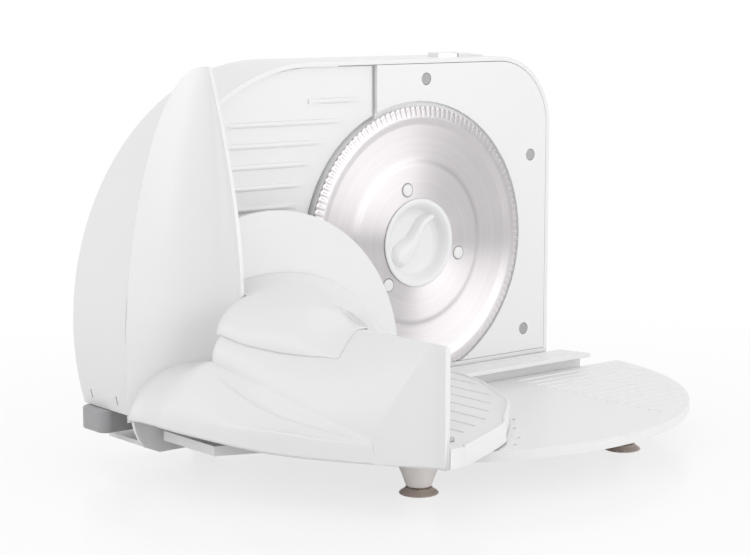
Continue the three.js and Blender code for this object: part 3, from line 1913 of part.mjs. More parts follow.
const slicer = new THREE.Group();
addBase(slicer);
addRail(slicer);
addBeam(slicer);
addFeet(slicer);
addHousing(slicer);
addBladePlate(slicer);
addRearCover(slicer);
addGland(slicer);
addMotor(slicer);
addWorm(slicer);
addBushes(slicer);
addDriveGear(slicer);
addBlade(slicer);
addLockKnob(slicer);
addBoard(slicer);
addSwitch(slicer);
addFence(slicer);
addFenceCarrier(slicer);
addSpindle(slicer);
addDial(slicer);
addCarriageBody(slicer);
addPlatform(slicer);
addRunner(slicer);
addPusherPlate(slicer);
addPusherGrip(slicer);

// Origin on the table under the middle of the slicer
const bounds = new THREE.Box3().setFromObject(slicer);
const middle = bounds.getCenter(new THREE.Vector3());
slicer.position.set(-middle.x, -middle.y, -bounds.min.z);

const model = new THREE.Group();
model.add(slicer);
export default model;
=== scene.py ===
"""Looks of the electric food slicer.

Places are in millimetres from the blade's centre, and P() turns them into metres.
"""

import json
import math

import bmesh
import bpy
from mathutils import Matrix, Vector


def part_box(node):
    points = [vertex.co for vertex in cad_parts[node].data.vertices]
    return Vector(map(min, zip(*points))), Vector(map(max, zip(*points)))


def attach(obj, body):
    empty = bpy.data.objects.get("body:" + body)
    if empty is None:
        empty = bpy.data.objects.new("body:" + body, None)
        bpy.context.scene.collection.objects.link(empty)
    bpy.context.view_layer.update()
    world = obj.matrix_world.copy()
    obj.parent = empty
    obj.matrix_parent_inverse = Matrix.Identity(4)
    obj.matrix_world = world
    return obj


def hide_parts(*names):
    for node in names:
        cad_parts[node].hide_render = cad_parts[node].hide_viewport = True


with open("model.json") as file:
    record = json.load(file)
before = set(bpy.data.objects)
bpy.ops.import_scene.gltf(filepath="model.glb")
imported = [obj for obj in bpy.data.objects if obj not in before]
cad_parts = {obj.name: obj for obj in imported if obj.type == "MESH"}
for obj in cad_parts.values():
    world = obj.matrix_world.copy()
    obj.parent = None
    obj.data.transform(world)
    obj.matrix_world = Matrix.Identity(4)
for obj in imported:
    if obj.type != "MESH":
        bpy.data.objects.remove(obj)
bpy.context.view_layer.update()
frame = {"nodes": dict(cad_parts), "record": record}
nodes = frame["nodes"]
scene = bpy.context.scene
PI = math.pi

BLADE_FRONT = 0.0005  # metres from the blade's foremost point back to the centre's y
blade_low, blade_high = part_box("blade")
CENTRE = Vector((
    (blade_low.x + blade_high.x) / 2,
    blade_low.y + BLADE_FRONT,
    (blade_low.z + blade_high.z) / 2,
))
BODY = {n: b for b, names in frame["record"]["behaviour"]["bodies"].items() for n in names}
SLOT = {s["node"]: s["material_slot"] for s in frame["record"]["subparts"]}


def P(x, y, z):
    """A place in metres, from millimetres off the blade's centre."""
    return Vector((x / 1000, y / 1000, z / 1000)) + CENTRE


def mix(a, b, t):
    return a + (b - a) * t


def clamp(t):
    return min(max(t, 0.0), 1.0)


def smooth(t):
    t = clamp(t)
    return t * t * (3 - 2 * t)


def over(span, y):
    """0 up to the start of a span, 1 from its end on, and smooth between. A span may run either way."""
    start, end = span
    return smooth((y - start) / (end - start))


def between(points, x):
    """Smooth value at x through (x, value) points sorted by x."""
    if x <= points[0][0]:
        return points[0][1]
    if x >= points[-1][0]:
        return points[-1][1]
    n = len(points)
    for i in range(n - 1):
        if x <= points[i + 1][0]:
            break
    (x1, y1), (x2, y2) = points[i], points[i + 1]
    h = x2 - x1

    def slope(k):
        if k == 0 or k == n - 1:
            k = min(max(k, 1), n - 1)
            return (points[k][1] - points[k - 1][1]) / (points[k][0] - points[k - 1][0])
        left = (points[k][1] - points[k - 1][1]) / (points[k][0] - points[k - 1][0])
        right = (points[k + 1][1] - points[k][1]) / (points[k + 1][0] - points[k][0])
        if left * right <= 0:
            return 0.0
        return 2 * left * right / (left + right)

    m1, m2 = slope(i), slope(i + 1)
    t = (x - x1) / h
    return (
        (2 * t**3 - 3 * t**2 + 1) * y1
        + (t**3 - 2 * t**2 + t) * h * m1
        + (-2 * t**3 + 3 * t**2) * y2
        + (t**3 - t**2) * h * m2
    )


# ---------------------------------------------------------------- materials
def new_material(name):
    m = bpy.data.materials.new(name)
    m.use_nodes = True
    tree = m.node_tree
    tree.nodes.clear()
    out = tree.nodes.new("ShaderNodeOutputMaterial")
    shader = tree.nodes.new("ShaderNodeBsdfPrincipled")
    tree.links.new(shader.outputs[0], out.inputs[0])
    return m, tree, shader


def joined(tree, kind, sources, operation=None):
    """The output of a new node whose first inputs are the sources, sockets or plain numbers."""
    n = tree.nodes.new(kind)
    if operation:
        n.operation = operation
    for socket, source in zip(n.inputs, sources):
        if isinstance(source, (int, float)):
            socket.default_value = source
        else:
            tree.links.new(source, socket)
    return n.outputs[0]


def maths(tree, operation, *sources):
    """The result of a math node on sockets or plain numbers."""
    return joined(tree, "ShaderNodeMath", sources, operation)


def noise(tree, scale, detail, stretch=(1, 1, 1)):
    """A noise in the object's own space: scale is per metre."""
    coords = tree.nodes.new("ShaderNodeTexCoord")
    mapping = tree.nodes.new("ShaderNodeMapping")
    mapping.inputs["Scale"].default_value = stretch
    n = tree.nodes.new("ShaderNodeTexNoise")
    n.inputs["Scale"].default_value = scale
    n.inputs["Detail"].default_value = detail
    tree.links.new(coords.outputs["Object"], mapping.inputs[0])
    tree.links.new(mapping.outputs[0], n.inputs["Vector"])
    return n.outputs["Fac"]


def ramp(tree, source, low, high, start=0.3, end=0.7):
    """Numbers from low to high while the source goes from start to end."""
    r = tree.nodes.new("ShaderNodeMapRange")
    r.inputs["From Min"].default_value = start
    r.inputs["From Max"].default_value = end
    r.inputs["To Min"].default_value = low
    r.inputs["To Max"].default_value = high
    tree.links.new(source, r.inputs["Value"])
    return r.outputs[0]


def tint(tree, source, dark, light, start=0.3, end=0.7):
    """Colours from dark to light while the source goes from start to end."""
    r = tree.nodes.new("ShaderNodeValToRGB")
    r.color_ramp.elements[0].position = start
    r.color_ramp.elements[1].position = end
    r.color_ramp.elements[0].color = (*dark, 1)
    r.color_ramp.elements[1].color = (*light, 1)
    tree.links.new(source, r.inputs[0])
    return r.outputs[0]


def bumps(tree, shader, source, distance, strength, edge=0.0):
    """Fine relief, with edges that shade as if rounded where edge is their radius."""
    b = tree.nodes.new("ShaderNodeBump")
    b.inputs["Strength"].default_value = strength
    b.inputs["Distance"].default_value = distance
    tree.links.new(source, b.inputs["Height"])
    if edge:
        e = tree.nodes.new("ShaderNodeBevel")
        e.samples = 4
        e.inputs["Radius"].default_value = edge
        tree.links.new(e.outputs[0], b.inputs["Normal"])
    tree.links.new(b.outputs[0], shader.inputs["Normal"])


def shades(colour, vary):
    """A darker and a lighter shade of a colour."""
    return tuple(c * (1 - vary) for c in colour), tuple(min(c * (1 + vary), 1) for c in colour)


TINT_SCALE, ROUGH_SCALE = 4, 16  # noises of the plastics' tint and gloss, per metre
BROAD = (0.1, 0.9)  # the part of those noises over which tint and gloss change
METAL_EDGE = 0.0004  # radius in metres to which metal edges shade


def plastic(name, colour, rough, vary=0.006, grain=260, depth=0.000003, coat=0.0):
    """Moulded plastic or paint: broad soft changes of tint and gloss over a fine grain."""
    m, tree, shader = new_material(name)
    base = tint(tree, noise(tree, TINT_SCALE, 0), *shades(colour, vary), *BROAD)
    gloss = ramp(tree, noise(tree, ROUGH_SCALE, 1), rough * 0.9, rough * 1.1, *BROAD)
    tree.links.new(base, shader.inputs["Base Color"])
    tree.links.new(gloss, shader.inputs["Roughness"])
    shader.inputs["IOR"].default_value = 1.5
    shader.inputs["Coat Weight"].default_value = coat
    shader.inputs["Coat Roughness"].default_value = 0.12
    bumps(tree, shader, noise(tree, grain, 2), depth, 0.6)
    return m


def metal(name, colour, rough, vary=0.06, stretch=(1, 1, 1), scale=300, depth=0.00001):
    """Metal with one grain, which its tint, gloss and relief share."""
    m, tree, shader = new_material(name)
    grain = noise(tree, scale, 3, stretch)
    tree.links.new(tint(tree, grain, *shades(colour, vary)), shader.inputs["Base Color"])
    tree.links.new(ramp(tree, grain, rough * 0.8, rough * 1.2), shader.inputs["Roughness"])
    shader.inputs["Metallic"].default_value = 1.0
    bumps(tree, shader, grain, depth, 0.5, METAL_EDGE)
    return m


BY_SLOT = {}
for make, slot, colour, rough, more in (
    (plastic, "white_plastic", (0.845, 0.845, 0.85), 0.3, {"coat": 0.15}),
    (plastic, "inner_plastic", (0.78, 0.78, 0.76), 0.5, {}),
    (plastic, "nylon", (0.8, 0.77, 0.68), 0.42, {"vary": 0.05, "grain": 500}),
    (plastic, "plug_grey", (0.42, 0.42, 0.43), 0.5, {"vary": 0.08, "grain": 900, "depth": 0.00004}),
    (plastic, "dark_plastic", (0.035, 0.035, 0.037), 0.45, {"vary": 0.2, "depth": 0.00003}),
    # the feet's colour is lighter than their own plastic: painted light, standing in for the fill light that the shade
    # under the base keeps off them
    (plastic, "foot_white", (0.93, 0.89, 0.86), 0.42, {"vary": 0.03}),
    (plastic, "grey_paint", (0.36, 0.36, 0.37), 0.34,
     {"vary": 0.08, "grain": 2600, "depth": 0.00002, "coat": 0.3}),
    (metal, "rod_steel", (0.56, 0.56, 0.57), 0.25, {"stretch": (30, 1, 30)}),
    (metal, "can_steel", (0.34, 0.34, 0.35), 0.38, {"vary": 0.12, "scale": 160}),
    (metal, "chrome", (0.74, 0.74, 0.75), 0.1, {"vary": 0.02, "scale": 60, "depth": 0.000004}),
    (metal, "bronze", (0.46, 0.29, 0.12), 0.4, {"vary": 0.15, "scale": 900}),
    (plastic, "board_green", (0.03, 0.14, 0.06), 0.35, {"vary": 0.25, "grain": 300}),
):
    BY_SLOT[slot] = make(slot, colour, rough, **more)


def cup_material():
    """Clear brownish rubber of the suction cups."""
    m, tree, shader = new_material("cup_clear")
    base = tint(tree, noise(tree, 40, 3), (0.66, 0.56, 0.5), (0.74, 0.65, 0.59))
    tree.links.new(base, shader.inputs["Base Color"])
    tree.links.new(ramp(tree, noise(tree, 90, 2), 0.16, 0.3), shader.inputs["Roughness"])
    shader.inputs["Transmission Weight"].default_value = 0.45
    shader.inputs["IOR"].default_value = 1.42
    shader.inputs["Subsurface Weight"].default_value = 0.2
    shader.inputs["Subsurface Radius"].default_value = (0.006, 0.004, 0.003)
    bumps(tree, shader, noise(tree, 500, 2), 0.00002, 0.5)
    return m


def blade_material():
    """Ground steel: fine rings round the blade's centre."""
    m, tree, shader = new_material("blade_steel")
    coords = tree.nodes.new("ShaderNodeTexCoord")
    parts = tree.nodes.new("ShaderNodeSeparateXYZ")
    tree.links.new(coords.outputs["Object"], parts.inputs[0])
    flat = joined(tree, "ShaderNodeCombineXYZ", (parts.outputs["X"], parts.outputs["Z"]))
    radius = tree.nodes.new("ShaderNodeVectorMath")
    radius.operation = "LENGTH"
    tree.links.new(flat, radius.inputs[0])
    line = joined(tree, "ShaderNodeCombineXYZ", (radius.outputs["Value"],))

    def rings(scale, detail):
        n = tree.nodes.new("ShaderNodeTexNoise")
        n.inputs["Scale"].default_value = scale
        n.inputs["Detail"].default_value = detail
        tree.links.new(line, n.inputs["Vector"])
        return n.outputs["Fac"]

    broad = maths(tree, "MULTIPLY", rings(260, 2), 0.4)
    both = maths(tree, "MULTIPLY_ADD", rings(1500, 3), 0.6, broad)
    tree.links.new(tint(tree, both, (0.67, 0.64, 0.655), (0.8, 0.775, 0.785)), shader.inputs["Base Color"])
    tree.links.new(ramp(tree, both, 0.34, 0.44), shader.inputs["Roughness"])
    shader.inputs["Metallic"].default_value = 1.0
    shader.inputs["Anisotropic"].default_value = 0.95
    shader.inputs["Anisotropic Rotation"].default_value = 0.25
    tangent = tree.nodes.new("ShaderNodeTangent")
    tangent.direction_type = "RADIAL"
    tangent.axis = "Y"
    tree.links.new(tangent.outputs[0], shader.inputs["Tangent"])
    bumps(tree, shader, both, 0.00002, 0.35)
    return m


BY_SLOT["cup_clear"] = cup_material()
BY_SLOT["blade_steel"] = blade_material()


# ---------------------------------------------------------------- mesh helpers
def finish_mesh(obj, angle):
    """Smooth shading, sharp where faces meet at more than the angle in degrees."""
    for p in obj.data.polygons:
        p.use_smooth = True
    obj.data.set_sharp_from_angle(angle=math.radians(angle))


def add_piece(name, mesh, node, angle, stands=True, material=None, place=None):
    """Makes a piece that rides and is finished as its CAD node, and stands for it unless told not to."""
    obj = bpy.data.objects.new(name, mesh)
    if place is not None:
        obj.location = place
    scene.collection.objects.link(obj)
    mesh.materials.append(material or BY_SLOT[SLOT[node]])
    if angle:
        finish_mesh(obj, angle)
    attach(obj, BODY[node])
    if stands:
        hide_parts(node)
    return obj


def mesh_of(name, bm):
    """A mesh from a bmesh, which ends here."""
    mesh = bpy.data.meshes.new(name)
    bm.to_mesh(mesh)
    bm.free()
    return mesh


def add_wall(obj, thickness):
    """Gives an open sheet a wall on its inner side."""
    s = obj.modifiers.new("wall", "SOLIDIFY")
    s.thickness = thickness
    s.offset = -1


SOFT_ANGLE = 32  # degrees: only sharper edges are rounded
FLAT_ANGLE = 0.6  # degrees: flatter edges are taken out


def softened(node, width):
    """The CAD node with its flat faces joined and its edges rounded by a width in millimetres."""
    bm = bmesh.new()
    bm.from_mesh(nodes[node].data)
    bmesh.ops.remove_doubles(bm, verts=bm.verts, dist=2e-6)
    bmesh.ops.dissolve_limit(
        bm, angle_limit=math.radians(FLAT_ANGLE), use_dissolve_boundaries=False, verts=bm.verts, edges=bm.edges
    )
    sharp = math.radians(SOFT_ANGLE)
    edges = [e for e in bm.edges if len(e.link_faces) == 2 and e.calc_face_angle(0) > sharp]
    bmesh.ops.bevel(
        bm, geom=edges, offset=width / 1000, offset_type="OFFSET", segments=2, profile=0.5,
        affect="EDGES", clamp_overlap=True, material=-1,
    )
    bmesh.ops.triangulate(bm, faces=[f for f in bm.faces if len(f.verts) > 4])
    name = node + "_shape"
    obj = add_piece(name, mesh_of(name, bm), node, SOFT_ANGLE)
    w = obj.modifiers.new("normals", "WEIGHTED_NORMAL")
    w.keep_sharp = True


def turn_up(bm, place):
    """Turns an open sheet over where its face nearest a place looks down."""
    bmesh.ops.recalc_face_normals(bm, faces=bm.faces)
    near = min(bm.faces, key=lambda f: (f.calc_center_median() - place).length)
    if near.normal.z < 0:
        bmesh.ops.reverse_faces(bm, faces=bm.faces)


def grid_mesh(name, rows, close_rows=False, close_cols=False, cap=False, up_at=None):
    """A mesh of quads through rows of points. An open sheet looks up at the place up_at."""
    bm = bmesh.new()
    grid = [[bm.verts.new(p) for p in row] for row in rows]
    nr, nc = len(grid), len(grid[0])
    for i in range(nr if close_rows else nr - 1):
        for j in range(nc if close_cols else nc - 1):
            a, b = grid[i][j], grid[i][(j + 1) % nc]
            c, d = grid[(i + 1) % nr][(j + 1) % nc], grid[(i + 1) % nr][j]
            if len({a, b, c, d}) == 4:
                bm.faces.new((a, b, c, d))
    if cap:
        bm.faces.new(list(reversed(grid[0])))
        bm.faces.new(grid[-1])
    bmesh.ops.remove_doubles(bm, verts=bm.verts, dist=1e-6)
    if up_at is None:
        bmesh.ops.recalc_face_normals(bm, faces=bm.faces)
    else:
        turn_up(bm, up_at)
    return mesh_of(name, bm)


def lathe_rows(profile, sides, axis, origin, wave=None):
    """Rows of points of a profile of (radius, place) turned round an axis through origin."""
    rows = []
    for k in range(sides):
        a = 2 * PI * k / sides
        row = []
        for r, h in profile:
            q = wave(a, r) if wave else r
            across, up = q * math.cos(a), q * math.sin(a)
            row.append(Vector((across, h, up) if axis == "Y" else (across, up, h)) / 1000 + origin)
        rows.append(row)
    return rows


def rounded(profile, radius, steps=3):
    """An open profile with its inner corners rounded."""
    out = [profile[0]]
    for a, b, c in zip(profile, profile[1:], profile[2:]):
        u = Vector((a[0] - b[0], a[1] - b[1]))
        v = Vector((c[0] - b[0], c[1] - b[1]))
        r = min(radius, u.length * 0.45, v.length * 0.45)
        p, q = Vector(b) + u.normalized() * r, Vector(b) + v.normalized() * r
        for i in range(steps + 1):
            t = i / steps
            w = p * (1 - t) ** 2 + Vector(b) * 2 * t * (1 - t) + q * t**2
            out.append((w.x, w.y))
    out.append(profile[-1])
    return out


def lathe(name, profile, node, axis, origin, sides=96, radius=0.4, angle=40, wave=None, own_origin=False, **more):
    """A turned piece. With own_origin its object sits at the origin of the turn, which its material needs."""
    base = Vector((0, 0, 0)) if own_origin else origin
    rows = lathe_rows(rounded(profile, radius), sides, axis, base, wave)
    mesh = grid_mesh(name, rows, close_rows=True)
    add_piece(name, mesh, node, angle, place=origin if own_origin else None, **more)


# ---------------------------------------------------------------- carried-over CAD nodes
for name, obj in nodes.items():
    for s in obj.material_slots:
        s.material = BY_SLOT[SLOT[name]]
    finish_mesh(obj, 30)

# ---------------------------------------------------------------- blade
TEETH = 128
TOOTH_FOOT = 93.5
TOOTH_DEPTH = 1.1
BEVEL_IN, BLADE_RIM = (87.6, -0.45), (95.0, 0.9)  # (radius, y) of the ground bevel's two edges
# (start radius, end radius, half width, height) of a tooth's cut and of the smaller one between
LONG_CUT, SHORT_CUT = (88.4, 93.0, 0.42, 0.16), (89.6, 93.2, 0.26, 0.1)
CUT_RADIUS = 90


def tooth_wave(a, r):
    """The radius of a rim point at angle a, lower between the teeth."""
    if r < TOOTH_FOOT:
        return r
    phase = (a * TEETH / (2 * PI)) % 1.0
    return r - TOOTH_DEPTH * (1 - abs(math.cos(PI * phase)) ** 0.8)


BLADE = [
    (26.9, 2.2), (26.9, 0.8), (53.5, 0.8), (55.0, 1.0), (58.0, 2.3), (60.0, 2.45), (81.8, 1.65), (83.2, 1.2),
    (86.6, -0.35), BEVEL_IN, BLADE_RIM, (94.4, 2.2), (60.0, 3.9), (55.0, 2.2), (26.9, 2.2),
]
lathe("blade_disc", BLADE, "blade", "Y", CENTRE, sides=TEETH * 6, radius=0.3, angle=50,
      wave=tooth_wave, own_origin=True)


def bevel_serration():
    """Fine radial cuts ground into the blade's bevel, one per tooth with smaller ones between."""
    bm = bmesh.new()
    count = TEETH * 2

    def at(r, angle, lift):
        y = mix(BEVEL_IN[1], BLADE_RIM[1], (r - BEVEL_IN[0]) / (BLADE_RIM[0] - BEVEL_IN[0])) - lift
        return Vector((r * math.cos(angle), y, r * math.sin(angle))) / 1000

    for k in range(count):
        a = 2 * PI * (k + 0.5) / count
        start, end, width, lift = LONG_CUT if k % 2 else SHORT_CUT
        half = width / CUT_RADIUS
        corners = at(start, a, 0.02), at(end, a - half, -0.05), at(end, a, lift), at(end, a + half, -0.05)
        v = [bm.verts.new(q) for q in corners]
        for face in ((0, 1, 2), (0, 2, 3), (1, 3, 2), (0, 3, 1)):
            bm.faces.new([v[i] for i in face])
    bmesh.ops.recalc_face_normals(bm, faces=bm.faces)
    add_piece("blade_serration", mesh_of("blade_serration", bm), "blade", None, stands=False, place=CENTRE)


bevel_serration()

# The drive gear's pegs: their round ends show in the blade, each in a steel collar.
PEG_TURN = 7 / 12 * PI
PEG_REACH = 38.6
PEG = [(0.01, 0.1), (3.3, 0.12), (4.15, 0.5), (4.2, 2.4), (0.01, 2.4)]
COLLAR = [(4.3, 0.62), (4.6, 0.5), (5.0, 0.6), (5.05, 0.85), (4.25, 0.85), (4.3, 0.62)]
for number in (1, 2, 3):
    a = PEG_TURN + (number - 1) * 2 * PI / 3
    at = P(PEG_REACH * math.cos(a), 0, PEG_REACH * math.sin(a))
    lathe("peg_end_%d" % number, PEG, "drive_gear", "Y", at, sides=32, radius=0.5,
          material=BY_SLOT["white_plastic"], stands=False)
    lathe("peg_collar_%d" % number, COLLAR, "blade", "Y", at, sides=32, radius=0.1,
          material=BY_SLOT["can_steel"], stands=False)

# ---------------------------------------------------------------- lock knob
KNOB = [
    (0.01, 7.4), (19.0, 7.4), (22.6, 5.6), (25.4, 1.4), (27.3, -0.2), (28.3, -0.6), (30.2, -0.6), (30.8, -0.1),
    (30.8, 0.5), (26.2, 0.5), (26.2, 9.8), (5.0, 9.8), (5.0, 18.8), (0.01, 18.8),
]
lathe("knob_bowl", KNOB, "lock_knob", "Y", CENTRE, radius=0.9)

# (x, z, half width) along the middle of the knob's ridge
KNOB_RIDGE = [
    (-17.5, -16.5, 1.0), (-15, -13, 7.0), (-11, -8.6, 9.4), (-6, -4.8, 9.0), (-1.5, 0.2, 7.0), (2, 6, 5.2),
    (5.5, 11.5, 4.2), (10.5, 15.6, 3.6), (15.4, 17.2, 2.8), (17.2, 16.2, 0.7),
]
KNOB_END_TOP, KNOB_TOP, KNOB_FLOOR = 7.2, 1.4, 9.0  # y of the ridge's back at its ends and middle, and of its foot
KNOB_STEPS, KNOB_ACROSS = 48, 16


def knob_ridge():
    """The S shaped ridge across the knob's bowl: a swept block with a round back."""
    keys_x, keys_z, keys_w = ([(i, key[n]) for i, key in enumerate(KNOB_RIDGE)] for n in range(3))
    last = len(KNOB_RIDGE) - 1
    step = 0.01
    rows = []
    for k in range(KNOB_STEPS + 1):
        s = last * k / KNOB_STEPS
        x, z, wide = between(keys_x, s), between(keys_z, s), between(keys_w, s)
        ahead, behind = min(s + step, last), max(s - step, 0)
        dx = between(keys_x, ahead) - between(keys_x, behind)
        dz = between(keys_z, ahead) - between(keys_z, behind)
        across = Vector((-dz, dx)).normalized()
        top = mix(KNOB_END_TOP, KNOB_TOP, smooth(min(s, last - s) / 1.2))
        row = []
        for j in range(KNOB_ACROSS + 1):
            t = j / KNOB_ACROSS * 2 - 1
            y = mix(top, KNOB_FLOOR, abs(t) ** 3.2)
            row.append(P(x + across.x * wide * t, y, z + across.y * wide * t))
        rows.append(row)
    obj = add_piece("knob_ridge", grid_mesh("knob_ridge", rows), "lock_knob", 60, stands=False)
    add_wall(obj, 0.0006)


knob_ridge()

# ---------------------------------------------------------------- carriage body
RIDGE_X = -147.0  # right side of the ridge
RIDGE_END = -44.6  # behind this y the ridge runs up to the guard and has no crease
RIDGE_WIDE = 3.6  # at its narrow front end
TURN, TURN_TALL = 2.4, 1.3  # width and height per width of the rounding of its top right edge
TOP_Z = -27.6
BACK_Y, FRONT_Y = -5.0, -197.0
FLOOR_X, FLOOR_Z = -192.0, -56.6  # start of the floor behind the ridge's end
GUARD_X = -181.0  # right side of the hand guard
GUARD_LOW, GUARD_MIDDLE, GUARD_DEEP, GUARD_TOP = -92.0, -44.0, -8.0, 126.0
GUARD_REACH, GUARD_DEPTH = (3, 62), (3, 35)  # to the left and to the front, at the tip and at the foot
GUARD_THICK = 2.6

# (share of the way forward, share of PLAN_REACH) of the carriage's outline left of the ridge
PLAN_REACH = 95
PLAN = [
    (0.0, 1.0), (0.06, 0.965), (0.125, 0.955), (0.2, 0.905), (0.264, 0.847), (0.346, 0.768), (0.422, 0.689),
    (0.5, 0.592), (0.589, 0.518), (0.737, 0.349), (0.87, 0.176), (0.93, 0.095), (1.0, 0.0),
]


def plan_x(y):
    """The carriage's left outline."""
    forward = clamp((BACK_Y - y) / (BACK_Y - FRONT_Y))
    return RIDGE_X - PLAN_REACH * max(between(PLAN, forward), 0)


# (y, value): roundness of the left slope, x of the crest, z of the rim and of the underside
POWER = [(-197, 1.6), (-160, 1.55), (-120, 1.3), (-85, 1.6), (-45, 2.5), (-5, 2.5)]
CREST = [(-197, -151.6), (-170, -152.2), (-120, -153.8), (-45, -160), (-5, -160)]
RIM = [(-197, -89.5), (-156, -88.5), (-139, -87.8), (-114, -86.3), (-92, -85.7), (-60, -84), (-5, -80)]
UNDER = [(-197, -100.2), (-100, -100.2), (-29, -90.7), (-5, -90.7)]

# the crease at the foot of the slope, y and (x, z) at its back and front ends
CREASE_BACK_Y, CREASE_FRONT_Y = -45, -162
CREASE_BACK, CREASE_FRONT = (-206, -52), (-171, -88)

# spans in y over which the floor changes
NO_CREASE = (RIDGE_END, RIDGE_END + 26)
DOME = (-104, -48)
STEEP_FRONT, STEEP_BACK = (-163, -139), (-46, -70)
DIP_FRONT, DIP_BACK = (-160, -130), (-46, -66)
DIP = 3.2


def straight(points, x):
    """Value at x on straight lines through (x, value) points sorted by x."""
    for (x1, y1), (x2, y2) in zip(points, points[1:]):
        if x <= x2:
            return mix(y1, y2, clamp((x - x1) / (x2 - x1)))
    return points[-1][1]


def foot_place(y):
    """The crease at the foot of the ridge's left slope, and behind it the place where the floor starts."""
    t = (CREASE_BACK_Y - min(y, CREASE_BACK_Y)) / (CREASE_BACK_Y - CREASE_FRONT_Y)
    back = over(NO_CREASE, y)
    x, z = (mix(a, b, t) for a, b in zip(CREASE_BACK, CREASE_FRONT))
    return mix(x, FLOOR_X, back), mix(z, FLOOR_Z, back)


def slope_point(y, share):
    """A point on the ridge's left slope, share 0 at the crest and 1 at the crease."""
    foot_x, foot_z = foot_place(y)
    power = straight(POWER, y)
    a = share * PI / 2
    out = math.sin(a) ** (2 / power)
    up = math.cos(a) ** (2 / power) if share < 1 else 0
    return mix(straight(CREST, y), foot_x, out), foot_z + (TOP_Z - foot_z) * up


def slope_at(y, x):
    """The share down the left slope at which it reaches x."""
    low, high = 0.0, 1.0
    for _ in range(24):
        mid = (low + high) / 2
        if slope_point(y, mid)[0] > x:
            low = mid
        else:
            high = mid
    return low


CORNER_STEPS, SLOPE_STEPS, FLOOR_STEPS = 5, 20, 34
RIM_START, RIM_END = 0.72, 0.82  # shares of the floor's steps: the hollow before, the outer wall after


def floor_points(y, edge, under):
    """The floor from the foot of the ridge to the lower rim: a dome near the guard, a hollow with a rim in front."""
    foot_x, foot_z = foot_place(y)
    dome_share = over(DOME, y)
    rim = straight(RIM, y)
    steep = 1 + 1.1 * over(STEEP_FRONT, y) * over(STEEP_BACK, y)
    dip = DIP * over(DIP_FRONT, y) * over(DIP_BACK, y)
    places = []
    for k in range(1, FLOOR_STEPS + 1):
        t = k / FLOOR_STEPS
        a = t * PI / 2
        dome = mix(foot_x, edge, math.sin(a)), under + (foot_z - under) * math.cos(a)
        if t <= RIM_START:
            q = t / RIM_START
            hollow = mix(foot_x, edge + 0.9, q), mix(rim + 0.4, foot_z, (1 - q) ** steep)
        elif t <= RIM_END:
            q = (t - RIM_START) / (RIM_END - RIM_START) * PI / 2
            hollow = edge + 0.9 * (1 - math.sin(q)), rim + 0.4 - 1.3 * (1 - math.cos(q))
        else:
            hollow = edge, mix(rim - 0.9, under, (t - RIM_END) / (1 - RIM_END))
        sunk = dip * math.sin(PI * min(t / 0.3, 1)) ** 2
        places.append((mix(hollow[0], dome[0], dome_share), mix(hollow[1], dome[1], dome_share) - sunk))
    return places


def carriage_section(y):
    """Places (x, z) over the carriage at one distance from the face, from the ridge's right foot to the rim."""
    edge = min(plan_x(y), RIDGE_X - RIDGE_WIDE)
    under = straight(UNDER, y)
    foot_x, foot_z = foot_place(y)
    turn = min(TURN, (RIDGE_X - edge) * 0.6)
    places = [(RIDGE_X, under), (RIDGE_X, mix(under, TOP_Z, 0.5))]
    for k in range(CORNER_STEPS + 1):
        a = k / CORNER_STEPS * PI / 2
        places.append((RIDGE_X - turn * (1 - math.cos(a)), TOP_Z - TURN_TALL * turn * (1 - math.sin(a))))
    steps = [k / SLOPE_STEPS for k in range(SLOPE_STEPS + 1)]
    if y > RIDGE_END:
        last = slope_at(y, GUARD_X + 0.6)
        places += [slope_point(y, last * t) for t in steps]
        places += [(GUARD_X, places[-1][1]), (GUARD_X, FLOOR_Z)]
        return places + floor_points(y, edge, under)
    if foot_x > edge + 0.6:
        places += [slope_point(y, t) for t in steps]
        places += [(foot_x, foot_z), (foot_x, foot_z)]
        return places + floor_points(y, edge, under)
    if edge < straight(CREST, y):
        last = slope_at(y, edge)
        cut = slope_point(y, last)[1]
        places += [slope_point(y, last * t) for t in steps]
    else:
        cut = TOP_Z - 0.8
        places += [(mix(RIDGE_X - turn, edge, t), TOP_Z) for t in steps]
    places += [(edge, cut), (edge, cut)]
    return places + [(edge, mix(cut, under, k / FLOOR_STEPS)) for k in range(1, FLOOR_STEPS + 1)]


def carriage_shell():
    """Ridge, floor and rim of the carriage in one sheet with a wall."""
    stations = [RIDGE_END + 0.05, RIDGE_END - 0.05, FRONT_Y + 0.3]
    y = BACK_Y
    while y > FRONT_Y + 0.3:
        stations.append(y)
        y -= 2.0 if y > -150 else 1.0
    stations.sort(reverse=True)
    bm = bmesh.new()
    grid = [[bm.verts.new(P(x, y, z)) for x, z in carriage_section(y)] for y in stations]
    for a, b in zip(grid, grid[1:]):
        for k in range(len(a) - 1):
            bm.faces.new((a[k], a[k + 1], b[k + 1], b[k]))
    bm.faces.new(grid[0])
    bm.faces.new(grid[-1])
    bmesh.ops.remove_doubles(bm, verts=bm.verts, dist=2e-5)
    turn_up(bm, P(RIDGE_X, -90, TOP_Z))
    obj = add_piece("carriage_shell", mesh_of("carriage_shell", bm), "carriage_body", 24)
    add_wall(obj, 0.0016)


carriage_shell()


